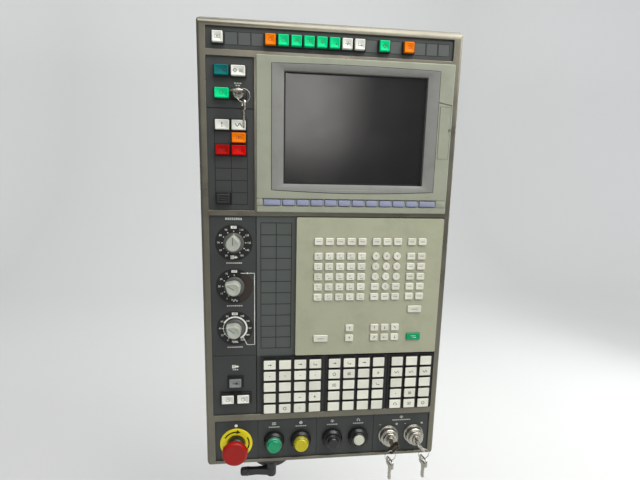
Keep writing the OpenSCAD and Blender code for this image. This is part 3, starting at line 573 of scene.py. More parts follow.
def sign(kind: Sign, size: float, weight: float, y: float = 0.0, bearing: float = 0.0) -> Shell:
    """Printed sign.

    Args:
        kind: which sign.
        size: its height in millimetres.
        weight: width of its strokes.
        y: depth of the face that it stands on.
        bearing: turn from upright, clockwise.

    Returns:
        Its shell about the origin.
    """
    strokes, fields = SIGN_SHAPES[kind]
    shells = [ribbon(path * size, weight, y, closed) for path, closed in strokes]
    shells += [patch(outline * size, y) for outline in fields]
    return Shell.join(shells).swung(bearing)


def block_arrow(y: float) -> Shell:
    """Filled sign of three bars and a shaft, with an arrow head on its right.

    Args:
        y: where the sign lies on y.

    Returns:
        The sign around x and z of 0.
    """
    bars = [patch(box_outline(1.3, 5.8), y).moved(x) for x in (-4.4, -2.5, -0.6)]
    shaft = patch(box_outline(2.4, 2.2), y).moved(1.2)
    return Shell.join([*bars, shaft, patch(arrow_head(6.0, 0, 90, 4.2), y)])


def placed(name: str, data: bpy.types.ID) -> bpy.types.Object:
    """Returns a new object of the given data, put in the scene at the origin.

    Args:
        name: what the object is called.
        data: its mesh, curve, lamp or camera.

    Returns:
        The new object.
    """
    holder = bpy.data.objects.new(name, data)
    bpy.context.scene.collection.objects.link(holder)
    return holder


def worked_out(holder: bpy.types.Object) -> bpy.types.Mesh:
    """Returns a mesh of what an object's text or modifiers come to.

    Args:
        holder: the object that is looked at.

    Returns:
        The new mesh.
    """
    bpy.context.view_layer.update()
    graph = bpy.context.evaluated_depsgraph_get()
    return bpy.data.meshes.new_from_object(holder.evaluated_get(graph))


def gathered(items: bpy.types.bpy_prop_collection, name: str, width: int = 1,
             kind: type = float) -> Array:
    """Reads a property of every item at once.

    Args:
        items: points, corners or faces of a mesh.
        name: the property.
        width: how many numbers it holds.
        kind: type of the numbers.

    Returns:
        An array with one number for each item, or one row where the width is over one.
    """
    values = np.empty(len(items) * width, kind)
    items.foreach_get(name, values)
    return values.reshape(-1, width) if width > 1 else values


@lru_cache(maxsize=None)
def glyph(text: str) -> Shell:
    """Thin mesh of figures or a letter one unit high, with x, z and rise as its coordinates.

    Args:
        text: digits or one letter.

    Returns:
        The mesh, made once for each text.
    """
    curve = bpy.data.curves.new("figures", "FONT")
    curve.body = text
    curve.align_x, curve.align_y = "CENTER", "CENTER"
    curve.resolution_u = 2
    curve.extrude = 0.05
    holder = placed("figures", curve)
    mesh = worked_out(holder)
    corners = [tuple(p.vertices) for p in mesh.polygons]
    counts = sorted({len(c) for c in corners})
    shell = Shell(gathered(mesh.vertices, "co", 3),
                  [np.array([c for c in corners if len(c) == n]) for n in counts])
    bpy.data.objects.remove(holder)
    bpy.data.meshes.remove(mesh)
    return shell


def figures(text: str, size: float, y: float = 0.0) -> Shell:
    """Printed figures or a letter of the built-in typeface.

    Args:
        text: what is printed.
        size: its height in millimetres.
        y: depth of the face that it stands on.

    Returns:
        The shell, centred about the origin.
    """
    x, z, rise = glyph(text).points.T
    depth = np.where(rise > 0, y - INK_RISE, y + INK_SINK)
    return Shell(np.stack([x * size, depth, z * size], axis=1), glyph(text).faces)


# ---------------------------------------------------------------- finishes


def tone(red: int, green: int, blue: int) -> Colour:
    """Returns a screen colour of 0 to 255 as linear red, green, blue and alpha.

    Args:
        red, green, blue: the colour as a screen shows it.

    Returns:
        The colour as the shaders take it.
    """
    c = np.array([red, green, blue]) / 255
    linear = np.where(c <= 0.04045, c / 12.92, ((c + 0.055) / 1.055) ** 2.4)
    return (float(linear[0]), float(linear[1]), float(linear[2]), 1.0)


def shade(colour: Colour, share: float) -> Colour:
    """Returns the colour with each channel multiplied by a share."""
    return (colour[0] * share, colour[1] * share, colour[2] * share, 1.0)


@dataclass(frozen=True)
class Cloud:
    """Cloudy pattern, and which of its values count as none and as all.

    Attributes:
        waves: waves a metre.
        detail: how many finer layers it has.
        rough: how strong the finer layers are.
        none: value at which the pattern begins.
        full: value at which it is whole.
        stretch: how much closer the waves lie along x, y and z.
    """

    waves: float
    detail: float = 2.0
    rough: float = 0.5
    none: float = 0.3
    full: float = 0.7
    stretch: Optional[Triple] = None


Socket = bpy.types.NodeSocket
Paint = Union[Colour, Socket]
Layer = tuple[Cloud, float, Paint]


class Sketch:
    """Node tree of one material, with short calls that add nodes and join them."""

    def __init__(self, name: str) -> None:
        """Starts a material with its shader and the piece's own coordinates.

        Args:
            name: what the material is called.
        """
        self.material = bpy.data.materials.new(name)
        self.material.use_nodes = True
        self.tree = self.material.node_tree
        self.shader = self.tree.nodes["Principled BSDF"]
        self.place = self.node("ShaderNodeTexCoord", {}).outputs["Object"]

    def node(self, kind: str, inputs: dict, **settings: object) -> bpy.types.Node:
        """Adds a node.

        Args:
            kind: which node.
            inputs: a value or a socket for each input, by its name or number.
            settings: the node's properties.

        Returns:
            The node.
        """
        node = self.tree.nodes.new(kind)
        for key, value in settings.items():
            setattr(node, key, value)
        for key, value in inputs.items():
            if isinstance(value, Socket):
                self.tree.links.new(value, node.inputs[key])
            else:
                node.inputs[key].default_value = value
        return node

    def link(self, source: Socket, name: str) -> None:
        """Joins a socket to one of the shader's."""
        self.tree.links.new(source, self.shader.inputs[name])

    def noise(self, cloud: Cloud) -> Socket:
        """Returns the bare values of a cloudy pattern.

        Args:
            cloud: size, detail and stretch of the pattern.

        Returns:
            The values as they come, around a half.
        """
        place = self.place
        if cloud.stretch is not None:
            inputs = {"Scale": cloud.stretch, "Vector": place}
            place = self.node("ShaderNodeMapping", inputs).outputs["Vector"]
        return self.node("ShaderNodeTexNoise", {
            "Scale": cloud.waves, "Detail": cloud.detail, "Roughness": cloud.rough,
            "Vector": place}).outputs["Fac"]

    def span(self, value: Socket, low: float, high: float, to_low: float = 0.0,
             to_high: float = 1.0) -> Socket:
        """Maps low..high of a value to to_low..to_high and holds it at both ends.

        Args:
            value: what is mapped.
            low, high: ends of what comes in.
            to_low, to_high: ends of what goes out.

        Returns:
            The mapped value.
        """
        return self.node("ShaderNodeMapRange", {
            "From Min": low, "From Max": high, "To Min": to_low, "To Max": to_high,
            "Value": value}).outputs["Result"]

    def clouded(self, cloud: Cloud, none: float = 0.0, full: float = 1.0) -> Socket:
        """Returns a cloudy pattern that runs from one number to another."""
        return self.span(self.noise(cloud), cloud.none, cloud.full, none, full)

    def blend(self, share: Socket, first: Paint, second: Paint) -> Socket:
        """Returns the mix of two colours or colour sockets by a share."""
        inputs = {"Factor": share, 6: first, 7: second}
        return self.node("ShaderNodeMix", inputs, data_type="RGBA").outputs[2]

    def worked(self, operation: str, *values: Socket) -> Socket:
        """Returns what an operation of arithmetic makes of one or two numbers."""
        inputs = dict(enumerate(values))
        return self.node("ShaderNodeMath", inputs, operation=operation).outputs[0]

    def relief(self, cloud: Cloud, depth: float, under: Optional[Socket] = None) -> Socket:
        """Returns a bump of a cloudy pattern, so many millimetres deep, over an earlier bump.

        Args:
            cloud: pattern of the bump.
            depth: its depth in millimetres.
            under: the bump that it lies on, if there is one.

        Returns:
            The direction of the bumpy surface.
        """
        inputs = {"Strength": 1.0, "Distance": depth * MM, "Height": self.noise(cloud)}
        if under is not None:
            inputs["Normal"] = under
        return self.node("ShaderNodeBump", inputs).outputs["Normal"]

    def dress(self, base: Paint, layers: Sequence[Layer], dull: tuple[Cloud, float, float],
              bumps: Sequence[tuple[Cloud, float]] = (), **values: object) -> None:
        """Gives the shader its colour, dullness and bumps.

        Args:
            base: colour or colour socket under the layers.
            layers: clouds of colour, each with its share where it is whole.
            dull: pattern of the dullness, and the two numbers that it runs between.
            bumps: patterns of the surface with their depths in millimetres, undermost first.
            values: the shader's other sockets, named with underscores for spaces.
        """
        for cloud, share, colour in layers:
            base = self.blend(self.clouded(cloud, 0.0, share), base, colour)
        if isinstance(base, Socket):
            self.link(base, "Base Color")
        self.link(self.clouded(*dull), "Roughness")
        normal = None
        for cloud, depth in bumps:
            normal = self.relief(cloud, depth, normal)
        if normal is not None:
            self.link(normal, "Normal")
        for key, value in values.items():
            self.shader.inputs[key.replace("_", " ")].default_value = value


@dataclass(frozen=True)
class Finish:
    """What every finish has: a name in plain words and its main colour."""

    name: str
    colour: Colour

    def material(self) -> bpy.types.Material:
        """Returns the finish's material, made when it is first asked for.

        Returns:
            The material, the same one each time.
        """
        known = bpy.data.materials.get(self.name)
        if known is not None:
            return known
        sketch = Sketch(self.name)
        self.draw(sketch)
        return sketch.material

    def draw(self, sketch: Sketch) -> None:
        """Draws the finish's nodes."""
        raise NotImplementedError


@dataclass(frozen=True)
class Enamel(Finish):
    """Stoved enamel: fine orange peel, clouded by handling, with small dark specks.

    Attributes:
        rough: how dull it is.
        peel: depth of the orange peel in millimetres.
        peel_scale: peel waves a metre.
        grime: colour that the clouds tend to.
        cloud: share of that colour at its strongest.
        metal: share of metal flake in the paint.
    """

    rough: float = 0.42
    peel: float = 0.05
    peel_scale: float = 700.0
    grime: Colour = tone(96, 93, 78)
    cloud: float = 0.5
    metal: float = 0.0

    def draw(self, sketch: Sketch) -> None:
        """Draws peel, clouds, specks and rubbed patches.

        Args:
            sketch: the node drawing of the finish's material.
        """
        clouds, mottle = Cloud(9.0, 5.0, 0.62, 0.42, 0.78), Cloud(260.0, 3.0, 0.6)
        base = self.colour
        for cloud, share, colour in ((clouds, self.cloud, self.grime),
                                     (mottle, 0.16, shade(self.colour, 1.3))):
            base = sketch.blend(sketch.clouded(cloud, 0.0, share), base, colour)
        cells = sketch.node("ShaderNodeTexVoronoi", {"Scale": 150.0, "Vector": sketch.place})
        specks = sketch.worked("MULTIPLY", sketch.span(cells.outputs["Distance"], 0.045, 0.02),
                               sketch.clouded(Cloud(55.0, none=0.58, full=0.62)))
        sketch.dress(sketch.blend(specks, base, shade(self.grime, 0.35)), (),
                     (Cloud(26.0, 4.0), self.rough - 0.09, self.rough + 0.12),
                     ((Cloud(self.peel_scale, 2.0, 0.55), self.peel), (Cloud(60.0), 0.1)),
                     Specular_IOR_Level=0.5, Metallic=self.metal)


@dataclass(frozen=True)
class Film(Finish):
    """Matt printed film on a plate: even grain, slightly shiny where fingers rub it."""

    rough: float = 0.5
    grain: float = 0.018

    def draw(self, sketch: Sketch) -> None:
        """Draws grain, faint blotches and rubbed patches.

        Args:
            sketch: the node drawing of the finish's material.
        """
        blotch, dust = Cloud(14.0, 4.0, 0.6, 0.35, 0.75), Cloud(900.0, 2.0, 0.7, 0.62, 0.8)
        sketch.dress(self.colour, ((blotch, 0.55, shade(self.colour, 1.22)),
                                   (dust, 0.3, shade(self.colour, 2.1))),
                     (Cloud(18.0, 5.0, 0.65), self.rough - 0.12, self.rough + 0.1),
                     ((Cloud(1500.0, 2.0, 0.6), self.grain),), Specular_IOR_Level=0.45)


@dataclass(frozen=True)
class Moulded(Finish):
    """Moulded plastic: spark-eroded grain, a little light let in, greyed by hands.

    Attributes:
        rough: how dull it is.
        grain, grain_scale: depth of the grain in millimetres, and its waves a metre.
        soil, soiled: colour of the dirt, and its share where it is worst.
        glow: share of light that goes in and comes out again.
        gloss: thickness of the smooth skin's own reflection.
        shine: strength of the plastic's own reflection.
    """

    rough: float = 0.42
    grain: float = 0.012
    grain_scale: float = 1400.0
    soil: Colour = tone(92, 84, 62)
    soiled: float = 0.28
    glow: float = 0.0
    gloss: float = 0.0
    shine: float = 0.45

    def draw(self, sketch: Sketch) -> None:
        """Draws grain, dirt clouds, fine specks and the varied tint of separate pieces.

        Args:
            sketch: the node drawing of the finish's material.
        """
        tint = sketch.node("ShaderNodeAttribute", {}, attribute_name="tint").outputs["Fac"]
        dirt, specks = Cloud(32.0, 5.0, 0.66, 0.46, 0.8), Cloud(420.0, 3.0, 0.6, 0.55, 0.8)
        sketch.dress(sketch.blend(tint, self.colour, shade(self.colour, 0.86)),
                     ((dirt, self.soiled, self.soil), (specks, 0.14, shade(self.colour, 0.72))),
                     (Cloud(70.0, 4.0), self.rough - 0.08, self.rough + 0.1),
                     ((Cloud(self.grain_scale, 2.0, 0.6), self.grain),),
                     Subsurface_Weight=self.glow, Subsurface_Radius=(0.0016, 0.0012, 0.001),
                     Subsurface_Scale=1.0, Coat_Weight=self.gloss, Coat_Roughness=0.12,
                     Specular_IOR_Level=self.shine)


@dataclass(frozen=True)
class Metal(Finish):
    """Bare or plated metal: fine drawn scratches, finger marks and a slight wave.

    Attributes:
        rough: how dull it is.
        drawn: how much closer the scratches lie along x, y and z.
        scratch: depth of the scratches in millimetres.
        tarnish: colour of the dull clouds.
    """

    rough: float = 0.2
    drawn: Triple = (1.0, 14.0, 1.0)
    scratch: float = 0.004
    tarnish: Colour = tone(120, 108, 84)

    def draw(self, sketch: Sketch) -> None:
        """Draws scratches, tarnish and marks.

        Args:
            sketch: the node drawing of the finish's material.
        """
        clouds, marks = Cloud(90.0, 5.0, 0.65, 0.5, 0.82), Cloud(160.0, 4.0, 0.6, 0.35, 0.7)
        scratches = Cloud(700.0, 3.0, 0.6, stretch=self.drawn)
        sketch.dress(self.colour, ((clouds, 0.45, self.tarnish),),
                     (marks, self.rough - 0.06, self.rough + 0.14),
                     ((scratches, self.scratch), (Cloud(120.0), 0.006)), Metallic=1.0)


@dataclass(frozen=True)
class LensPlastic(Finish):
    """Clear tinted lens plastic: light goes in, a bright smooth skin, fine inner flecks."""

    rough: float = 0.14
    passes: float = 0.25

    def draw(self, sketch: Sketch) -> None:
        """Draws depth mottling, dust and the skin.

        Args:
            sketch: the node drawing of the finish's material.
        """
        mottle, dust = Cloud(180.0, 4.0, 0.6, 0.3, 0.72), Cloud(650.0, 3.0, 0.7, 0.62, 0.8)
        sketch.dress(self.colour, ((mottle, 0.4, shade(self.colour, 0.68)),
                                   (dust, 0.12, tone(150, 150, 130))),
                     (Cloud(130.0, 4.0, 0.5, 0.35, 0.75), self.rough, self.rough + 0.16),
                     ((Cloud(240.0), 0.015),), Transmission_Weight=self.passes,
                     Subsurface_Weight=0.25, Subsurface_Radius=(0.003, 0.003, 0.003),
                     Subsurface_Scale=1.0, Coat_Weight=0.35, Coat_Roughness=0.08,
                     Specular_IOR_Level=0.25, IOR=1.49)


@dataclass(frozen=True)
class ScreenGlass(Finish):
    """Dark screen under an anti-glare skin, with wiping marks and dust."""

    def draw(self, sketch: Sketch) -> None:
        """Draws the skin's grain, the wiping marks and the dust.

        Args:
            sketch: the node drawing of the finish's material.
        """
        smear = Cloud(16.0, 5.0, 0.7, 0.4, 0.75, (1.0, 1.0, 0.35))
        dust = Cloud(1300.0, 2.0, 0.7, 0.68, 0.82)
        sketch.dress(self.colour, ((smear, 0.5, shade(self.colour, 1.8)),
                                   (dust, 0.2, tone(96, 94, 88))),
                     (Cloud(22.0, 5.0, 0.65, 0.3, 0.75), 0.16, 0.26),
                     ((Cloud(2600.0, 1.0), 0.002),), Coat_Weight=0.6, Coat_Roughness=0.2,
                     IOR=1.5)


@dataclass(frozen=True)
class PrintInk(Finish):
    """Screen-printed ink, a little thin and worn in places so that it isn't all one tone."""

    worn: Colour = tone(110, 112, 108)
    wear: float = 0.5

    def draw(self, sketch: Sketch) -> None:
        """Draws pinholes and rubbed patches.

        Args:
            sketch: the node drawing of the finish's material.
        """
        thin, pinholes = Cloud(75.0, 4.0, 0.7, 0.48, 0.72), Cloud(2400.0, 2.0, 0.7, 0.6, 0.72)
        sketch.dress(self.colour, ((thin, self.wear, self.worn), (pinholes, 0.4, self.worn)),
                     (Cloud(300.0), 0.42, 0.6))


SKY = (0.80, 0.82, 0.84, 1.0)


@dataclass(frozen=True)
class Ground(Finish):
    """Pale floor with a faint cloud, that still looks pale far from the lamps.

    Attributes:
        glow: strength of the glow that only the camera sees, where it is whole.
        ahead: y between which it fades in from the lit ground to the front.
        beside, level: x to both sides between which it grows, and y between which it ends.
        wide: x to both sides between which it grows everywhere.
    """

    glow: float = 0.55
    ahead: Pair = (-4.0, -0.5)
    beside: Pair = (1.0, 4.0)
    level: Pair = (0.0, 1.5)
    wide: Pair = (2.0, 6.0)

    def draw(self, sketch: Sketch) -> None:
        """Draws the cloud, and the glow in front of and beside the lit ground.

        Args:
            sketch: the node drawing of the finish's material.
        """
        cloud = Cloud(0.8, 4.0)
        base = sketch.blend(sketch.clouded(cloud, 0.0, 0.5), self.colour, shade(self.colour, 0.96))
        sketch.link(base, "Base Color")
        axes = sketch.node("ShaderNodeSeparateXYZ", {0: sketch.place}).outputs
        across = sketch.worked("ABSOLUTE", axes["X"])
        beside = sketch.worked("MULTIPLY", sketch.span(across, *self.beside, 0.0, self.glow),
                               sketch.span(axes["Y"], *self.level, 1.0, 0.0))
        glow = sketch.span(axes["Y"], *self.ahead, self.glow, 0.0)
        for other in (beside, sketch.span(across, *self.wide, 0.0, self.glow)):
            glow = sketch.worked("MAXIMUM", glow, other)
        seen = sketch.node("ShaderNodeLightPath", {}).outputs["Is Camera Ray"]
        sketch.link(sketch.worked("MULTIPLY", seen, glow), "Emission Strength")
        inputs = sketch.shader.inputs
        inputs["Roughness"].default_value, inputs["Specular IOR Level"].default_value = 0.85, 0.2
        inputs["Emission Color"].default_value = SKY


def cap_plastic(name: str, colour: Colour) -> Moulded:
    """Returns the dull clean plastic of a coloured lamp cap."""
    return Moulded(name, colour, rough=0.42, soiled=0.05, shine=0.08)


FRAME_ENAMEL = Enamel("khaki frame enamel", tone(124, 121, 109), rough=0.34, peel=0.03,
                      grime=tone(80, 76, 64), cloud=0.35, metal=0.75)
HOUSING_ENAMEL = Enamel("khaki housing enamel", tone(140, 137, 116), rough=0.46, peel=0.06,
                        peel_scale=520.0)
BLACK_ENAMEL = Enamel("black bracket enamel", tone(40, 40, 42), rough=0.4, peel=0.07,
                      peel_scale=380.0, grime=tone(66, 62, 56), cloud=0.55)
SLATE_FILM = Film("dark slate film", tone(53, 57, 56))
WIDE_FILM = Film("wide slate film", tone(74, 79, 77))
DIAL_FILM = Film("black dial film", tone(24, 24, 25), rough=0.42)
DIAL_BROWN = Film("dark brown dial film", tone(48, 39, 34), rough=0.45)
COVER_SLATE = Film("blank cover slate", tone(72, 77, 76), rough=0.44)
DISPLAY_PUTTY = Moulded("display unit putty", tone(148, 152, 136), rough=0.46, grain=0.02,
                        grain_scale=900.0, soiled=0.2)
KEYBOARD_PUTTY = Moulded("keyboard unit putty", tone(165, 167, 144), rough=0.46, grain=0.02,
                         grain_scale=900.0, soiled=0.2)
SURROUND_GREY = Moulded("screen surround grey", tone(126, 127, 125), rough=0.5, grain=0.02,
                        grain_scale=1000.0)
SCREEN_GLASS = ScreenGlass("switched-off screen", tone(13, 13, 13))
SOFT_KEY_BLUE = Moulded("soft key blue", tone(128, 134, 160), rough=0.38, soiled=0.2)
KEY_IVORY = Moulded("key ivory", tone(222, 222, 208), rough=0.36, soiled=0.18, glow=0.08)
MATRIX_IVORY = Moulded("matrix key ivory", tone(232, 233, 220), rough=0.34, soiled=0.14,
                       glow=0.05, shine=0.3)
INPUT_GREEN = Moulded("keyboard green key", tone(14, 150, 98), rough=0.4, soiled=0.1, shine=0.2)
SOCKET_BLACK = Moulded("socket black", tone(22, 22, 23), rough=0.34, soil=tone(60, 58, 52))
STOP_YELLOW = Moulded("stop plate yellow", tone(236, 220, 40), rough=0.42, soiled=0.14,
                      shine=0.25)
STOP_RED = Moulded("stop head red", tone(156, 12, 2), rough=0.4, soil=tone(84, 12, 8),
                   shine=0.3, gloss=0.08)
LENS_GREEN = LensPlastic("start lens green", tone(0, 172, 116))
LENS_YELLOW = LensPlastic("hold lens yellow", tone(222, 208, 6))
RIM_GREEN = LensPlastic("green-tinted clear rim", tone(96, 190, 156), passes=0.45)
RIM_YELLOW = LensPlastic("yellow-tinted clear rim", tone(200, 194, 70), passes=0.45)
BUTTON_BLACK = Moulded("button black", tone(30, 30, 31), rough=0.3, soil=tone(66, 63, 58),
                       gloss=0.15)
BUTTON_WHITE = Moulded("button white", tone(206, 208, 192), rough=0.34, glow=0.1)
CHROME = Metal("lock chrome", (0.52, 0.50, 0.45, 1.0), rough=0.32)
KEY_NICKEL = Metal("key nickel", (0.48, 0.46, 0.40, 1.0), rough=0.28, drawn=(1.0, 1.0, 9.0))
RING_STEEL = Metal("ring steel", (0.50, 0.49, 0.45, 1.0), rough=0.22)
SCREW_ZINC = Metal("screw zinc", (0.62, 0.62, 0.6, 1.0), rough=0.3)
CASE_ZINC = Metal("zinc-plated sheet", (0.55, 0.56, 0.56, 1.0), rough=0.38,
                  drawn=(6.0, 1.0, 1.0))
BOARD_GREEN = Moulded("board green", tone(60, 96, 70), rough=0.45)
BOW_BROWN = Moulded("key bow brown", tone(52, 42, 30), rough=0.3, soil=tone(88, 76, 56),
                    gloss=0.2)
KNOB_PALE = Moulded("knob pale grey", tone(168, 173, 163), rough=0.38, soiled=0.3)
SKIRT_GREY = Moulded("knob skirt grey", tone(84, 85, 84), rough=0.42)
CAP_WHITE = Moulded("white cap", tone(226, 228, 220), rough=0.34, soiled=0.1, glow=0.08,
                    shine=0.3)
CAP_ORANGE = cap_plastic("orange cap", tone(246, 124, 0))
CAP_GREEN = cap_plastic("green cap", tone(0, 214, 136))
CAP_TEAL = cap_plastic("teal cap", tone(0, 106, 108))
CAP_RED = cap_plastic("red cap", tone(206, 8, 6))
CAP_DARK_RED = cap_plastic("dark red cap", tone(172, 8, 6))
CAP_BLACK = Moulded("black cap", tone(36, 38, 38), rough=0.34, soil=tone(70, 68, 60))
CAP_GREY = Moulded("grey cap", tone(128, 132, 132), rough=0.34, glow=0.06)
WHITE_INK = PrintInk("white print", tone(240, 242, 236), wear=0.3)
PALE_INK = PrintInk("pale grey print", tone(206, 208, 202), worn=tone(120, 122, 120), wear=0.35)
DARK_INK = PrintInk("dark print", tone(52, 52, 54), worn=tone(120, 120, 116), wear=0.4)
BLACK_INK = PrintInk("black print", tone(12, 12, 12), worn=tone(40, 40, 38), wear=0.2)


# ------------------------------------------------------------------ pieces


def raw_mesh(name: str, shell: Shell) -> bpy.types.Mesh:
    """Returns a mesh of a shell, in metres in the row frame.

    Args:
        name: what the mesh is called.
        shell: faces and points in panel millimetres.

    Returns:
        The new mesh.
    """
    mesh = bpy.data.meshes.new(name)
    corners = [own for group in shell.faces for own in group.tolist()]
    mesh.from_pydata(to_world(shell.points), [], corners)
    return mesh


def make_piece(name: str, surface: Union[Shell, Sequence[Shell]], finish: Finish, body: str,
               slot: str, replaces: Sequence[str] = (), sharp: float = CRISP,
               tint: Optional[Array] = None) -> bpy.types.Object:
    """Makes a closed mesh object of one or more shells and hands it to the frame.

    Args:
        name: the object's name.
        surface: its surface in the panel's millimetres.
        finish: its finish.
        body: CAD body that it moves with.
        slot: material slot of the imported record.
        replaces: CAD nodes that it stands for.
        sharp: edges that turn more than this many degrees stay crisp.
        tint: one number for each point, which some finishes darken by.

    Returns:
        The object.
    """
    mesh = raw_mesh(name, surface if isinstance(surface, Shell) else Shell.join(surface))
    if tint is not None:
        values = mesh.attributes.new("tint", "FLOAT", "POINT").data
        values.foreach_set("value", tint.astype(np.float32))
    solid = bmesh.new()
    solid.from_mesh(mesh)
    bmesh.ops.remove_doubles(solid, verts=solid.verts, dist=2e-6)
    bmesh.ops.recalc_face_normals(solid, faces=solid.faces)
    solid.to_mesh(mesh)
    solid.free()
    mesh.shade_smooth()
    mesh.set_sharp_from_angle(angle=math.radians(sharp))
    return settle(placed(name, mesh), finish, body, slot, replaces)


def settle(piece: bpy.types.Object, finish: Finish, body: str, slot: str,
           replaces: Sequence[str] = ()) -> bpy.types.Object:
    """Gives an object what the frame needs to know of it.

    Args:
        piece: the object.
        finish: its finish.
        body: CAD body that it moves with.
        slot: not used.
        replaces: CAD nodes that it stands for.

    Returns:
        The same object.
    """
    if finish.material() not in list(piece.data.materials):
        piece.data.materials.append(finish.material())
    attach(piece, body)
    if replaces:
        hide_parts(*replaces)
    LOG.info("%s rides %s, %d faces", piece.name, body, len(piece.data.polygons))
    return piece


@dataclass
class Loose:
    """One loose part of a CAD node: its points in the panel's millimetres and its triangles."""

    points: Array
    triangles: Array

    @property
    def box(self) -> Span:
        """Box of the part."""
        return Span(self.points.min(axis=0), self.points.max(axis=0))


@lru_cache(maxsize=None)
def loose_parts(node: str) -> list[Loose]:
    """Parts of a CAD node that don't touch one another.

    Points in one place are made one. Then each point takes the lowest number among the
    corners of its triangles, again and again, until the numbers no longer change.

    Args:
        node: the CAD node's name.

    Returns:
        The parts, in order of height and then of x.
    """
    mesh = frame["nodes"][node].data
    points = gathered(mesh.vertices, "co", 3)
    corners = gathered(mesh.loops, "vertex_index", kind=np.int64)
    _, first, index = np.unique(np.round(points, 6), axis=0, return_index=True,
                                return_inverse=True)
    points = to_panel(points[first])
    triangles = index.reshape(-1)[corners].reshape(-1, 3)
    label = np.arange(len(points))
    settled = False
    while not settled:
        lower = label.copy()
        np.minimum.at(lower, triangles, label[triangles].min(axis=1)[:, None])
        lower = lower[lower]
        settled = bool((lower == label).all())
        label = lower
    parts = []
    for number in np.unique(label):
        own = label == number
        renumber = np.cumsum(own) - 1
        parts.append(Loose(points[own], renumber[triangles[own[triangles[:, 0]]]]))
    parts.sort(key=lambda p: (-round(p.box.middle[2], 1), round(p.box.middle[0], 1)))
    return parts


def boxes_of(node: str) -> list[Span]:
    """Returns the boxes of a CAD node's loose parts, in order of height and then of x."""
    return [part.box for part in loose_parts(node)]


# Planes with fewer faces than this are not tiled anew.
FEWEST_TILES = 8
# Faces smaller than this many square metres belong to no plane.
NO_AREA = 1e-13
# Cosine above which two faces lie in one plane.
ONE_PLANE = 0.99999
# Rise under which a border edge counts as level, in millimetres.
NO_RISE = 1e-12
# Degrees within which eased faces share their light.
ROLL = 50.0


def flat_groups(solid: bmesh.types.BMesh) -> list[list[bmesh.types.BMFace]]:
    """Finds the plain faces that share edges and lie in one plane, folded ones among them.

    Args:
        solid: a mesh whose plain faces carry material 0.

    Returns:
        One list of faces for each plane.
    """
    groups = []
    free = {f: None for f in solid.faces if f.material_index == 0 and f.calc_area() > NO_AREA}
    while free:
        group = [free.popitem()[0]]
        for face in group:
            for other in (f for edge in face.edges for f in edge.link_faces):
                if other in free and abs(other.normal.dot(face.normal)) > ONE_PLANE:
                    del free[other]
                    group.append(other)
        groups.append(group)
    return groups


def inside_border(middle: Array, starts: Array, ends: Array) -> Array:
    """Which points lie inside a border of edges.

    A point is inside where a ray to its right leaves across an odd number of edges.

    Args:
        middle: the points, two numbers each.
        starts, ends: both ends of each border edge.

    Returns:
        A truth value for each point.
    """
    height = middle[:, None, 1]
    crossed = (starts[None, :, 1] > height) != (ends[None, :, 1] > height)
    climb = ends[:, 1] - starts[:, 1]
    rise = np.where(np.abs(climb) < NO_RISE, 1.0, climb)
    lean = (ends[:, 0] - starts[:, 0]) / rise
    cross = starts[None, :, 0] + (height - starts[None, :, 1]) * lean[None]
    return (crossed & (cross > middle[:, None, 0])).sum(axis=1) % 2 == 1


def retile(mesh: bpy.types.Mesh) -> None:
    """Tiles each flat face anew inside its border, so that no long thin triangle folds over.

    Plain faces (material 0) that share edges and lie in one plane, either side out, form
    a group. The edges that only one of them has are its border, and the plane is filled by
    a constrained Delaunay triangulation of the border, less the triangles outside it.

    Args:
        mesh: a mesh whose edges have been eased.
    """
    solid = bmesh.new()
    solid.from_mesh(mesh)
    for faces in (group for group in flat_groups(solid) if len(group) >= FEWEST_TILES):
        group = set(faces)
        border = [e for f in faces for e in f.edges
                  if sum(other in group for other in e.link_faces) == 1]
        corners = list(dict.fromkeys(v for e in border for v in e.verts))
        number = {v: i for i, v in enumerate(corners)}
        normal = sum((f.normal * f.calc_area() for f in faces), Vector()).normalized()
        across = normal.orthogonal().normalized()
        along = normal.cross(across)
        flat = np.array([(v.co.dot(across), v.co.dot(along)) for v in corners]) / MM
        edges = np.array([(number[e.verts[0]], number[e.verts[1]]) for e in border])
        spots = [Vector(p) for p in flat.tolist()]
        filled = delaunay_2d_cdt(spots, edges.tolist(), [], 1, 1e-6)
        if len(filled[0]) != len(corners) or any(len(own) != 1 for own in filled[3]):
            LOG.info("a plane of %d faces keeps its tiles", len(faces))
            continue
        source = np.array([own[0] for own in filled[3]])
        tiles = source[np.array(filled[2])]
        inside = inside_border(flat[tiles].mean(axis=1), flat[edges[:, 0]], flat[edges[:, 1]])
        bmesh.ops.delete(solid, geom=faces, context="FACES")
        for tile in tiles[inside].tolist():
            solid.faces.new([corners[i] for i in tile]).smooth = True
    solid.to_mesh(mesh)
    solid.free()


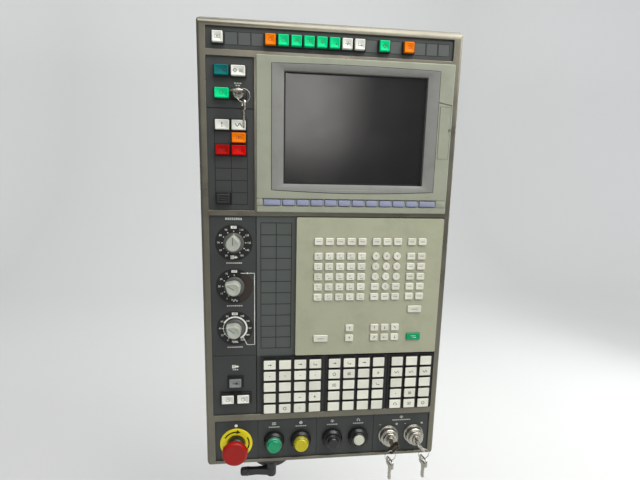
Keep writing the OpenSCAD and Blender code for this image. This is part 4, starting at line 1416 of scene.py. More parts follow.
def level_normals(mesh: bpy.types.Mesh, curve: float) -> None:
    """Keeps flat faces flat to the light and rolls it round the eased edges only.

    Eased faces carry material 1. A corner's normal is the sum of face normals at its
    point, weighted by area, over faces that turn less than a limit from its own face:
    over the uneased ones alone where there are any, and over the eased ones elsewhere.

    Args:
        mesh: a mesh whose edges have been eased.
        curve: uneased faces that turn less than this many degrees are one curved face.
    """
    count = len(mesh.loops)
    point = gathered(mesh.loops, "vertex_index", kind=np.int64)
    sizes = gathered(mesh.polygons, "loop_total", kind=np.int64)
    facing = gathered(mesh.polygons, "normal", 3)
    area = gathered(mesh.polygons, "area")
    rolls = gathered(mesh.polygons, "material_index", kind=np.int64) == 1
    face = np.repeat(np.arange(len(sizes)), sizes)
    order = np.argsort(point, kind="stable")
    amount = np.bincount(point)
    start = np.cumsum(amount) - amount
    # Each corner is paired with every corner at its point, itself among them.
    own = np.repeat(np.arange(count), amount[point])
    first = np.repeat(np.cumsum(amount[point]) - amount[point], amount[point])
    other = order[start[point[own]] + np.arange(len(own)) - first]
    f, g = face[own], face[other]
    close = (facing[f] * facing[g]).sum(axis=1)
    wide, narrow = math.cos(math.radians(ROLL)), math.cos(math.radians(curve))
    near_plain = ~rolls[g] & (close > np.where(rolls[f], wide, narrow))
    near_eased = rolls[f] & rolls[g] & (close > wide)

    def total(chosen: Array) -> Array:
        """Sum of the chosen neighbours' normals at each corner."""
        weight = area[g] * chosen
        sums = [np.bincount(own, weight * facing[g, i], count) for i in range(3)]
        return np.column_stack(sums)

    plain, rolled = total(near_plain), total(near_eased)
    has_plain = np.linalg.norm(plain, axis=1) > 1e-12
    normal = np.where(has_plain[:, None], plain, rolled)
    length = np.linalg.norm(normal, axis=1)
    bad = length < 1e-14
    normal[bad] = facing[face[bad]]
    normal[~bad] /= length[~bad, None]
    mesh.polygons.foreach_set("material_index", np.zeros(len(sizes), np.int32))
    mesh.normals_split_custom_set(normal.tolist())


def eased_copy(name: str, node: str, finish: Finish, body: str, slot: str, width: float,
               keep: Optional[Callable[[Loose], bool]] = None, replace: bool = True,
               angle: float = 28.0, segments: int = 2) -> bpy.types.Object:
    """Copy of a CAD node with its doubles merged and its edges eased.

    Args:
        name: the new object's name.
        node: CAD node to copy.
        finish: its finish.
        body: CAD body that it moves with.
        slot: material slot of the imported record.
        width: width of the eased edges in millimetres.
        keep: which loose parts are copied, or all.
        replace: whether the copy stands for the node.
        angle: edges that turn more than this many degrees are eased.
        segments: steps across an eased edge.

    Returns:
        The object.
    """
    parts = [p for p in loose_parts(node) if keep is None or keep(p)]
    mesh = raw_mesh(name, Shell.join(Shell(p.points, [p.triangles]) for p in parts))
    mesh.shade_smooth()
    piece = placed(name, mesh)
    for _ in range(2):
        mesh.materials.append(finish.material())
    bevel = piece.modifiers.new("eased edges", "BEVEL")
    bevel.width = width * MM
    bevel.segments = segments
    bevel.limit_method = "ANGLE"
    bevel.angle_limit = math.radians(angle)
    bevel.use_clamp_overlap = False
    bevel.loop_slide = False
    bevel.material = 1
    done = worked_out(piece)
    piece.modifiers.clear()
    piece.data = done
    done.name = name
    retile(done)
    level_normals(done, angle)
    done.materials.pop(index=1)
    return settle(piece, finish, body, slot, [node] if replace else [])


# ------------------------------------------------------------ sub-assemblies


@dataclass
class CastFrame:
    """Cast front frame, folded housing, its rear cover and the screws."""

    casting_edge: float = 0.7
    sheet_edge: float = 0.5
    screw_edge: float = 0.25

    def build(self) -> None:
        """Eases and dresses the four nodes."""
        eased_copy("front_casting", "front_frame", FRAME_ENAMEL, "panel", "frame_khaki",
                   self.casting_edge, segments=3)
        for name, node in (("folded_housing", "housing"), ("pressed_cover", "rear_cover")):
            eased_copy(name, node, HOUSING_ENAMEL, "panel", "housing_khaki", self.sheet_edge)
        eased_copy("cover_screws", "fasteners", SCREW_ZINC, "panel", "screw_steel",
                   self.screw_edge)


@dataclass(frozen=True)
class Grid:
    """Scored grid on a plate: size and rows of its cells, and how far down it begins."""

    width: float
    height: float
    rows: int
    head: float


@dataclass
class SwitchPlates:
    """Recessed plates with their scored lines and blank covers."""

    edge: float = 0.18
    lap: float = 1.5
    column_grid: Grid = Grid(23.0, 17.4, 7, 83.6)
    wide_grid: Grid = Grid(23.2, 18.15, 11, 10.5)
    wide_grid_side: float = 6.4
    painted_width: float = 1.12
    # Heights of the two deep grooves, whose floors get black strips of painted shade.
    dividers: tuple[tuple[str, float], ...] = (("upper_left_plate", 562.8),
                                               ("override_plate", 187.1))
    divider_width: float = 1.5
    divider_depth: float = 0.8
    divider_margin: float = 0.2
    strip_places: int = 19
    strip_pitch: float = 18.0
    strip_first: float = 18.0
    blank_cover: float = 16.1
    cover_corner: float = 0.8
    cover_rows: Profile = ((0.0, 0.2), (0.0, -0.1), (0.15, -0.25))

    def build(self) -> None:
        """Eases the plates, then adds the lines and the covers."""
        films = {"top_plate": SLATE_FILM, "upper_left_plate": SLATE_FILM,
                 "override_plate": SLATE_FILM, "keyboard_carrier": WIDE_FILM,
                 "bottom_plate": SLATE_FILM}
        for node, film in films.items():
            eased_copy(f"{node}_film", node, film, "panel", "plate_slate", self.edge)
        self.scored_lines()
        self.blank_covers()

    def grid_lines(self, grid: Grid, left: float, top: float, y: float) -> list[Shell]:
        """Lines round two columns of cells.

        Args:
            grid: the cells.
            left, top: upper left corner of the grid.
            y: depth of the face that the lines stand on.

        Returns:
            A shell for each line.
        """
        right, bottom = left + 2 * grid.width, top - grid.rows * grid.height
        heights = [top - i * grid.height for i in range(grid.rows + 1)]
        sides = [left + i * grid.width for i in range(3)]
        paths = [line((left, z), (right, z)) for z in heights]
        paths += [line((x, top), (x, bottom)) for x in sides]
        return [ribbon(path, self.painted_width, y) for path in paths]

    def scored_lines(self) -> None:
        """Lays dark lines over the scored grooves, and black strips of painted shade at the floors
        of the two deep ones.
        """
        column, wide = span("upper_left_plate"), span("keyboard_carrier")
        y = column.front - INK_RISE
        shells = self.grid_lines(self.column_grid, column.middle[0] - self.column_grid.width,
                                 column.high[2] - self.lap - self.column_grid.head, y)
        shells += self.grid_lines(self.wide_grid, wide.low[0] + self.wide_grid_side,
                                  wide.high[2] - self.lap - self.wide_grid.head, y)
        # The black strips at the floors of the two deep grooves are painted shade.
        for node, z in self.dividers:
            plate = span(node)
            ends = (plate.low[0] + self.lap, z), (plate.high[0] - self.divider_margin, z)
            floor = plate.front + self.divider_depth - INK_RISE
            shells.append(ribbon(line(*ends), self.divider_width, floor))
        make_piece("groove_lines_and_painted_shade", shells, BLACK_INK, "panel", "plate_slate")

    def blank_covers(self) -> None:
        """Thin covers over the places of the top strip that hold no button."""
        plate = span("top_plate")
        places = (plate.low[0] + self.strip_first
                  + np.arange(self.strip_places) * self.strip_pitch)
        used = np.array([span(n).middle[0] for n in frame["nodes"] if n.startswith("strip_")])
        nearest = np.abs(places[:, None] - used[None]).min(axis=1)
        cover = cushion_block(self.blank_cover, self.blank_cover, self.cover_corner,
                              sunk(plate.front, self.cover_rows))
        spots = [(x, 0.0, plate.middle[2]) for x in places[nearest > self.strip_pitch / 2]]
        make_piece("blank_covers", cover.repeated(spots), COVER_SLATE, "panel", "plate_slate")


@dataclass
class PanelPrint:
    """White and pale marks printed on the plates: plain rules, signs and figures only."""

    signs: tuple[tuple[str, Sign], ...] = (
        ("start_button", Sign.BOX), ("hold_button", Sign.TARGET),
        ("lock_button", Sign.SPLIT), ("release_button", Sign.LOOP_ARROW))
    sign_size: float = 5.2
    stroke: float = 0.7
    sign_rise: float = 29.5
    dot: float = 2.6
    head_rise: float = 31.0
    button_rule: float = 18.0
    rule_rise: float = 23.5
    locks_rule: float = 32.0
    locks_rule_rise: float = 26.0
    turn_size: float = 3.4
    turn_stroke: float = 0.6
    turn_side: float = 14.5
    turn_rise: float = 18.5
    lamp_sign_rise: float = 25.0
    lamp_rule: float = 9.0
    lamp_rule_rise: float = 19.8
    small_lock_side: float = -1.0
    small_lock_rules: Profile = ((11.0, 14.5), (7.0, 11.5))

    def build(self) -> None:
        """Prints the marks of the bottom row, of the tool keys and above the key locks."""
        y = span("bottom_plate").front
        row = span("start_button").middle[2]
        white = [disc(self.dot, y).at(span("stop_head").middle, up=self.head_rise)]
        pale: list[Shell] = []
        for node, kind in self.signs:
            place = (span(node).middle[0], 0.0, row)
            white.append(sign(kind, self.sign_size, self.stroke, y).at(place, up=self.sign_rise))
            pale.append(PLATE_RULE.row(self.button_rule, y).at(place, up=self.rule_rise))
        locks = [joint_place("setup_turn"), joint_place("edit_turn")]
        between = ((locks[0][0] + locks[1][0]) / 2, 0.0, row)
        white.append(sign(Sign.SPLIT, self.sign_size, self.stroke, y).at(
            between, up=self.head_rise))
        pale.append(PLATE_RULE.row(self.locks_rule, y).at(between, up=self.locks_rule_rise))
        for lock in locks:
            for side, kind in ((-1, Sign.MINUS), (1, Sign.BARS)):
                mark = sign(kind, self.turn_size, self.turn_stroke, y)
                white.append(mark.at(lock, side * self.turn_side, self.turn_rise))
        lamp, small = span("tool_lamp_key").middle, joint_place("power_turn")
        white.append(block_arrow(y).at(lamp, up=self.lamp_sign_rise))
        pale.append(PLATE_RULE.row(self.lamp_rule, y).at(lamp, up=self.lamp_rule_rise))
        for width, rise in self.small_lock_rules:
            pale.append(PLATE_RULE.row(width, y).at(small, self.small_lock_side, rise))
        make_piece("white_plate_marks", white, WHITE_INK, "panel", "plate_slate")
        make_piece("pale_plate_rules", pale, PALE_INK, "panel", "plate_slate")


@dataclass
class DisplayUnit:
    """Display unit: moulded front, grey surround, screen, soft keys and card door."""

    edge: float = 0.2
    flap_edge: float = 0.3
    screen_width: float = 211.2
    screen_height: float = 158.4
    margin_side: float = 17.0
    margin_top: float = 8.6
    bow_bottom: float = 3.6
    bow_top: float = 1.6
    slope: Profile = ((0.0, 0.25), (0.0, -0.23), (0.012, -0.35), (0.1, -0.35), (0.5, 0.35),
                      (0.955, 1.55), (0.985, 1.75), (1.0, 2.1))
    slope_back: Profile = ((0.9, 2.6), (0.1, 0.6))
    # How far outside the surround the black ring of painted seam shade lies, and its width.
    gap: float = 0.35
    gap_width: float = 0.9
    border: float = 2.6
    key_rows: Profile = ((0.0, 1.2), (0.15, 0.5), (0.55, 0.15), (1.1, 0.0))
    key_back: float = 6.0
    key_lift: float = 1.35
    tongue_rows: Profile = ((0.0, 1.6), (0.0, 0.75), (0.2, 0.45), (0.7, 0.3))
    tongue_margin: float = 0.6
    tongue_gap: float = 1.6
    tongue_extra: float = 1.8

    def build(self) -> None:
        """Eases the moulding, then adds the surround, the screen and the keys."""
        eased_copy("display_moulding", "display_bezel", DISPLAY_PUTTY, "panel",
                   "display_putty", self.edge)
        eased_copy("card_flap", "card_door", DISPLAY_PUTTY, "card_door", "display_putty",
                   self.flap_edge)
        self.surround()
        self.screen()
        self.soft_keys()
        self.tongues()

    def outline(self, grow_side: float, grow_top: float, bows: Pair = (0.0, 0.0)) -> Array:
        """Outline round the screen, its lower and upper edges bowed outwards.

        Along x each of the two leaves a straight line by its bow times the cosine of an
        angle that runs through half a turn from corner to corner, with none at its middle.

        Args:
            grow_side, grow_top: distance outwards from the screen's opening.
            bows: greatest bow of the lower and of the upper edge.

        Returns:
            Array of (x, z) points, as many for every size.
        """
        w, h = self.screen_width + 2 * grow_side, self.screen_height + 2 * grow_top
        x = np.linspace(-w / 2, w / 2, 41)
        z = np.linspace(-h / 2, h / 2, 11)[1:-1]
        low, high = (h / 2 + bow * np.cos(x / w * math.pi) for bow in bows)
        edges = ((x, -low), (0 * z + w / 2, z), (x[::-1], high), (0 * z - w / 2, z[::-1]))
        return np.concatenate([np.stack(edge, axis=1) for edge in edges])

    def surround_outline(self, grow: float) -> Array:
        """Outline of the surround, grown by a distance outwards."""
        return self.outline(self.margin_side + grow, self.margin_top + grow,
                            (self.bow_bottom, self.bow_top))

    def surround(self) -> None:
        """Grey surround that slopes from the moulding's face down to the screen.

        Each ring lies a share of the way from the outer outline to the opening.
        """
        glass, face = span("screen"), span("display_bezel").front
        outer, inner = self.surround_outline(0.0), self.outline(-0.15, -0.15)
        rows = [*self.slope, (1.0, glass.front - face - INK_RISE), *self.slope_back]
        share = np.array([r[0] for r in rows])[:, None, None]
        rings = stood_up(outer[None] * (1 - share) + inner[None] * share,
                         [face + r[1] for r in rows])
        make_piece("screen_surround", lofted(rings, closed=True).at(glass.middle),
                   SURROUND_GREY, "panel", "display_putty", sharp=24)
        # A thin black ring on the moulding's face round the surround: painted shade in the seam
        # between the two.
        gap = ribbon(self.surround_outline(self.gap), self.gap_width, face, closed=True)
        make_piece("surround_seam_shade", gap.at(glass.middle), BLACK_INK, "panel", "display_putty")

    def screen(self) -> None:
        """Screen slab with a thin black border inside the opening."""
        glass = span("screen")
        rows = sunk(glass.front, ((0.0, 0.1), (0.1, 0.0)), (0.0, glass.high[1]))
        slab = cushion_block(glass.width, glass.height, 0.6, rows)
        make_piece("screen_slab", slab.at(glass.middle), SCREEN_GLASS, "panel", "lcd",
                   ["screen"])
        inwards = -self.border / 2
        border = ribbon(self.outline(inwards, inwards), self.border, glass.front, closed=True)
        make_piece("screen_border", border.at(glass.middle), BLACK_INK, "panel", "lcd")

    def soft_keys(self) -> None:
        """Wedge-shaped soft keys: the face slopes back towards its upper edge."""
        shells = []
        for box in boxes_of("soft_keys"):
            rows = sunk(box.front, self.key_rows, (0.0, self.key_back))
            key = cushion_block(box.width, box.height, 1.5, rows, 6)
            slope = np.clip((key.points[:, 2] + box.height / 2) / box.height, 0, 1)
            faced = key.points[:, 1] < box.front + 1.0
            key.points[:, 1] += np.where(faced, self.key_lift * slope ** 1.6, 0.0)
            shells.append(key.at(box.middle))
        make_piece("soft_key_row", shells, SOFT_KEY_BLUE, "soft_keys", "soft_key_blue",
                   ["soft_keys"], sharp=50)

    def tongues(self) -> None:
        """Raised tongues that close the soft keys' channel at both ends."""
        unit, keys = span("display_bezel"), span("soft_keys")
        shells = []
        for left, right in (
                (unit.low[0] + self.tongue_margin, keys.low[0] - self.tongue_gap),
                (keys.high[0] + self.tongue_gap, unit.high[0] - self.tongue_margin)):
            block = cushion_block(right - left, keys.height + self.tongue_extra, 1.2,
                                  sunk(unit.front, self.tongue_rows))
            shells.append(block.moved((left + right) / 2, 0, keys.middle[2]))
        make_piece("channel_ends", shells, DISPLAY_PUTTY, "panel", "display_putty")


def varied(count: int, step: int, levels: int) -> Array:
    """Returns a fixed tint between 0 and 1 for each of so many keys, in mixed order."""
    return np.arange(count) * step % levels / levels


@dataclass
class KeyboardUnit:
    """Keyboard unit: moulded plate, separate keys and their plain legends."""

    edge: float = 0.3
    corner: float = 1.5
    key_rows: Profile = ((0.0, 1.9), (0.25, 0.55), (0.55, 0.15), (1.0, 0.0), (1.5, 0.05),
                         (2.6, 0.2))
    key_back: float = 0.5
    dish: float = 0.2
    letter: float = 3.6
    figure: float = 4.6
    wide_key: float = 16.0
    letters_width: float = 75.0
    top_row: float = 5.0
    cursor_row: float = 30.0
    bearings: tuple[int, ...] = (0, 0, 180, 315, 0, 45, 270, 180, 90, 180)
    bars: tuple[float, float, float, float] = (10.0, 7.0, 5.0, 6.4)
    green_bars: tuple[Triple, ...] = ((8.0, 0.0, 1.2), (6.0, 2.0, -1.6))
    letter_at: Pair = (-1.2, 1.5)
    under_letter: Pair = (0.6, -2.4)
    bar_rise: float = 0.4

    def build(self) -> None:
        """Eases the plate and lays out keys and legends."""
        eased_copy("keyboard_moulding", "keyboard_plate", KEYBOARD_PUTTY, "panel",
                   "keyboard_putty", self.edge)
        boxes = boxes_of("keyboard_keys")
        wide = [b for b in boxes if b.width > self.wide_key]
        green = max(wide, key=lambda b: b.middle[0] - b.middle[2])
        plain = [b for b in boxes if b is not green]
        shells = [self.key(box) for box in plain]
        tint = np.repeat(varied(len(shells), 37, 11), [len(s.points) for s in shells])
        make_piece("keyboard_caps", shells, KEY_IVORY, "keyboard_keys", "key_ivory",
                   ["keyboard_keys"], sharp=50, tint=tint)
        make_piece("keyboard_green_cap", self.key(green), INPUT_GREEN, "keyboard_keys",
                   "key_ivory", sharp=50)
        make_piece("keyboard_legends", self.legends(plain), DARK_INK, "keyboard_keys",
                   "key_ivory")
        pale = [KEY_BAR.row(width, green.front + self.dish).at(green.middle, right, up)
                for width, right, up in self.green_bars]
        make_piece("keyboard_pale_legend", pale, WHITE_INK, "keyboard_keys", "key_ivory")

    def key(self, box: Span) -> Shell:
        """One key cap: sloping sides, a rounded rim and a shallow dished top.

        Args:
            box: the key's box.

        Returns:
            The shell in its place.
        """
        rows = sunk(box.front, self.key_rows, (0.0, self.key_back))
        if box.is_round:
            sides = [(box.width / 2 - inset, -depth) for inset, depth in rows]
            ends = (0.0, -self.key_back), (0.0, -box.front - self.dish)
            return turned([ends[0], *sides, ends[1]], 28).at(box.middle)
        return cushion_block(box.width, box.height, self.corner, rows, 4).at(box.middle)

    def legends(self, boxes: list[Span]) -> list[Shell]:
        """Letters in order, figures on the round keys, arrows on the cursor keys, else bars.

        Args:
            boxes: the keys' boxes, in order of height and then of x.

        Returns:
            The marks in their places.
        """
        letters, numbers = iter("ABCDEFGHIJKLMNOPQRSTUVWXYZ"), iter("7894561230")
        bearings = iter(self.bearings)
        wide_bar, top_bar, small_bar, plain_bar = self.bars
        last_letter = min(b.middle[0] for b in boxes) + self.letters_width
        top = max(b.middle[2] for b in boxes) - self.top_row
        cursors = min(b.middle[2] for b in boxes if b.is_round) - self.cursor_row
        marks = []
        for box in boxes:
            y, place = box.front + self.dish, box.middle
            if box.is_round:
                marks.append(figures(next(numbers), self.figure, y).at(place))
            elif box.width > self.wide_key:
                marks.append(KEY_BAR.row(wide_bar, y).at(place))
            elif place[2] > top:
                marks.append(KEY_BAR.row(top_bar, y).at(place))
            elif place[2] < cursors:
                arrow = sign(Sign.ARROW, 4.6, 0.55, y, next(bearings) - 90)
                marks.append(arrow.at(place))
            elif place[0] < last_letter:
                letter = next(letters, None)
                marks.append(figures(letter, self.letter, y).at(place, *self.letter_at)
                             if letter else sign(Sign.HOOK, 3.0, 0.45, y).at(place))
                marks.append(KEY_BAR.row(small_bar, y).at(place, *self.under_letter))
            else:
                marks.append(KEY_BAR.row(plain_bar, y).at(place, up=self.bar_rise))
        return marks


# Which of the matrix keys carry which sign, counted along the rows from the upper left.
MATRIX_SIGNS: dict[Sign, tuple[int, ...]] = {
    Sign.ARROW: (0, 2, 4, 6), Sign.HOOK: (3, 5, 29), Sign.DOT: (11, 12, 13, 14, 41, 46),
    Sign.RING: (15, 45, 54), Sign.BARS: (16, 42), Sign.PLUS: (18, 36), Sign.WAVE: (19, 20, 21),
    Sign.BOX: (26, 53), Sign.MINUS: (35,), Sign.LOOP_ARROW: (52,)}


@dataclass
class KeyMatrix:
    """Key matrix: three black housings on the slate plate and their pale keys."""

    edge: float = 0.2
    corner: float = 1.1
    frame_front: float = -0.7
    frame_back: float = 0.2
    border: float = 1.6
    gap: float = 0.45
    skirt: float = 0.35
    body_rows: Profile = ((0.0, 1.5), (0.15, 0.9), (0.5, 0.7), (3.0, 0.7))
    body_back: float = 2.0
    face_rows: Profile = ((0.0, 1.2), (0.0, 0.6), (0.12, 0.2), (0.4, 0.03), (0.7, 0.0),
                          (1.4, 0.06), (3.0, 0.2))
    dish: float = 0.2
    sign_size: float = 5.4
    dot_size: float = 2.4
    stroke: float = 0.8

    def build(self) -> None:
        """Dresses the tray, then adds the housings, the keys and a few signs."""
        eased_copy("matrix_plate_film", "matrix_tray", SLATE_FILM, "panel", "tray_black",
                   self.edge)
        boxes = boxes_of("matrix_keys")
        self.housings(boxes)
        self.keys(boxes)
        self.signs(boxes)

    def groups(self, boxes: list[Span]) -> list[list[Span]]:
        """Parts the keys where their columns stand wider apart.

        Args:
            boxes: the keys' boxes.

        Returns:
            The boxes of each group.
        """
        xs = np.unique([round(b.middle[0], 1) for b in boxes])
        steps = np.diff(xs)
        breaks = xs[1:][steps > steps.min() + 2]
        return [[b for b in boxes if low <= b.middle[0] + 1 < high]
                for low, high in zip([-math.inf, *breaks], [*breaks, math.inf])]

    def housings(self, boxes: list[Span]) -> None:
        """Black housings: a square ring round each key, with a border round the group.

        Args:
            boxes: boxes of the keys.
        """
        back = span("matrix_tray").front + self.frame_back
        shells = []
        for group in self.groups(boxes):
            xs = sorted({round(b.middle[0], 2) for b in group})
            zs = sorted({round(b.middle[2], 2) for b in group})
            half_x, half_z = (xs[1] - xs[0]) / 2, (zs[1] - zs[0]) / 2
            for b in group:
                x, _, z = b.middle
                left, right, low, high = (
                    half + (self.border if abs(at - end) < 0.1 else 0) for half, at, end in (
                        (half_x, x, xs[0]), (half_x, x, xs[-1]),
                        (half_z, z, zs[0]), (half_z, z, zs[-1])))
                outer = line((-left, -low), (right, -low), (right, high), (-left, high))
                inner = box_outline(b.width + 2 * self.gap, b.height + 2 * self.gap)
                rings = stood_up(np.stack([outer, outer, inner, inner]),
                                 [back, self.frame_front, self.frame_front, back])
                shells.append(lofted(rings, closed=True).at(b.middle))
        make_piece("matrix_housings", shells, SOCKET_BLACK, "panel", "socket_black")

    def keys(self, boxes: list[Span]) -> None:
        """Keys: black bodies with pale faces that have a rounded rim and a shallow dish.

        Args:
            boxes: boxes of the keys.
        """
        first = boxes[0]
        width, height = first.width, first.height
        body = cushion_block(width, height, self.corner,
                             sunk(first.front, self.body_rows, (0.0, self.body_back)), 4)
        face = cushion_block(width - 2 * self.skirt, height - 2 * self.skirt, self.corner,
                             sunk(first.front, self.face_rows), 4)
        places = [b.middle for b in boxes]
        tint = np.repeat(varied(len(boxes), 29, 13), len(face.points))
        make_piece("matrix_key_bodies", body.repeated(places), CAP_BLACK, "matrix_keys",
                   "socket_black", sharp=50)
        make_piece("matrix_faces", face.repeated(places), MATRIX_IVORY, "matrix_keys",
                   "key_ivory", ["matrix_keys"], sharp=50, tint=tint)

    def signs(self, boxes: list[Span]) -> None:
        """Small dark signs on some keys, plain ones only.

        Args:
            boxes: boxes of the keys.
        """
        y = boxes[0].front + self.dish
        kinds = {i: kind for kind, keys in MATRIX_SIGNS.items() for i in keys}
        shells = []
        for i in sorted(kinds):
            size = self.dot_size if kinds[i] is Sign.DOT else self.sign_size
            shells.append(sign(kinds[i], size, self.stroke, y).at(boxes[i].middle))
        make_piece("matrix_signs", shells, BLACK_INK, "matrix_keys", "key_ivory")


@dataclass(frozen=True)
class Cap:
    """One lamp button: its CAD node, its finish and slot, and the signs on it.

    trim holds how much narrower and lower a cap is than its box, where a black body
    shows round it.
    """

    node: str
    finish: Finish
    slot: str
    signs: tuple[Sign, ...] = ()
    ink: PrintInk = DARK_INK
    trim: Pair = (0.0, 0.0)


@dataclass
class LampButtons:
    """Square lamp buttons of the top strip, the left column and the tool keys."""

    corner: float = 1.0
    rows: Profile = ((0.0, 1.1), (0.12, 0.5), (0.45, 0.12), (0.95, 0.0), (1.5, 0.0),
                     (1.75, 0.22))
    back: Profile = ((0.25, 4.4), (0.0, 3.4))
    recess: float = 0.22
    body_rows: Profile = ((0.0, 2.0), (0.3, 1.6), (3.0, 1.6))
    body_back: float = 4.4
    # Size over the box and rows of the black rings round the tool keys' sockets, which are painted
    # contact shadow.
    gasket: float = 6.6
    gasket_rows: Profile = ((0.0, 0.1), (0.0, -0.5), (0.3, -0.8), (5.0, -0.8))
    socket_edge: float = 0.25
    cap_edge: float = 0.3
    round_controls_below: float = 60.0
    plain_size: float = 0.4
    bold_size: float = 0.5
    plain_stroke: float = 0.55
    bold_stroke: float = 1.0
    sign_pitch: float = 0.42

    def build(self) -> None:
        """Dresses the sockets and the caps."""
        eased_copy("square_sockets", "button_sockets", SOCKET_BLACK, "panel", "socket_black",
                   self.socket_edge,
                   keep=lambda part: part.box.middle[2] > self.round_controls_below)
        self.gaskets()
        for cap in self.caps():
            self.cap(cap)
        eased_copy("ribbed_black_cap", "black_button", CAP_BLACK, "black_button", "cap_black",
                   self.cap_edge, segments=3)

    def gaskets(self) -> None:
        """Flat black rings of painted contact shadow round the sockets of the tool lamp and of the
        two tool keys.
        """
        rows = sunk(span("override_plate").front, self.gasket_rows)
        shells = []
        for box in (span("tool_lamp_key"), span("tool_keys")):
            size = box.width + self.gasket, box.height + self.gasket
            shells.append(cushion_block(*size, self.corner, rows).at(box.middle))
        make_piece("tool_key_shadow_rings", shells, SOCKET_BLACK, "panel", "socket_black")

    def caps(self) -> list[Cap]:
        """Returns every cap: the top strip's by their names, the column's and the tool keys'.

        Returns:
            The caps of all rows.
        """
        finishes = {"white": CAP_WHITE, "orange": CAP_ORANGE, "green": CAP_GREEN}
        cycle = (Sign.RING, Sign.BARS, Sign.BOX, Sign.SPLIT, Sign.HOOK, Sign.TARGET)
        caps = []
        for number, node in enumerate(n for n in frame["nodes"] if n.startswith("strip_")):
            tint = node.split("_")[1]
            signs = (cycle[number % len(cycle)],)
            caps.append(Cap(node, finishes[tint], f"cap_{tint}", signs))
        return caps + [
            Cap("teal_button", CAP_TEAL, "cap_teal", (Sign.SPLIT, Sign.BARS)),
            Cap("white_button", CAP_WHITE, "cap_white", (Sign.TARGET, Sign.BARS)),
            Cap("green_button", CAP_GREEN, "cap_green", (Sign.RING,)),
            Cap("alarm_button", CAP_WHITE, "cap_white", (Sign.NOTICE,), BLACK_INK),
            Cap("wave_button", CAP_WHITE, "cap_white", (Sign.WAVE,), BLACK_INK),
            Cap("orange_button", CAP_ORANGE, "cap_orange", (Sign.BOX,)),
            Cap("red_button_1", CAP_DARK_RED, "cap_red", (Sign.WAVE,)),
            Cap("red_button_2", CAP_RED, "cap_red", (Sign.RING,)),
            Cap("tool_lamp_key", CAP_GREY, "cap_grey", (Sign.ARROW,), BLACK_INK, (0.8, 1.9)),
            Cap("tool_keys", CAP_WHITE, "cap_white", (Sign.RING,), DARK_INK, (0.8, 1.9)),
        ]

    def cap(self, cap: Cap) -> None:
        """One cap, or the caps of one node, with a raised rim, a flat recess and its signs.

        Args:
            cap: node, place and colours of one cap.
        """
        shells: list[Shell] = []
        bodies: list[Shell] = []
        marks: list[Shell] = []
        bold = cap.ink is BLACK_INK
        share = self.bold_size if bold else self.plain_size
        weight = self.bold_stroke if bold else self.plain_stroke
        for box in boxes_of(cap.node):
            block = cushion_block(box.width - cap.trim[0], box.height - cap.trim[1],
                                  self.corner, sunk(box.front, self.rows, *self.back))
            shells.append(block.at(box.middle))
            if max(cap.trim) > 0:
                rows = sunk(box.front, self.body_rows, (0.0, self.body_back))
                body = cushion_block(box.width, box.height, self.corner, rows)
                bodies.append(body.at(box.middle))
            size = min(box.width, box.height) * share
            for i, kind in enumerate(cap.signs):
                shift = (i - (len(cap.signs) - 1) / 2) * box.width * self.sign_pitch
                mark = sign(kind, size, weight, box.front + self.recess)
                marks.append(mark.at(box.middle, shift))
        if bodies:
            make_piece(f"{cap.node}_body", bodies, CAP_BLACK, cap.node, "socket_black")
        make_piece(f"{cap.node}_cap", shells, cap.finish, cap.node, cap.slot, [cap.node])
        if marks:
            make_piece(f"{cap.node}_sign", marks, cap.ink, cap.node, cap.slot)


@dataclass(frozen=True)
class Dial:
    """One override dial.

    Attributes:
        knob, joint: its knob's node and joint.
        angle: bearing of the knob at rest.
        numbers: what is printed round it.
        waves: waves of the sign at its bottom, which is a block arrow where there are none.
        reach: how far its marks reach outwards.
        banded: whether a band runs along its marks.
        led: whether a line leads away from its upper right.
    """

    knob: str
    joint: str
    angle: float
    numbers: tuple[int, ...]
    waves: int = 0
    reach: float = 0.9
    banded: bool = False
    led: bool = False


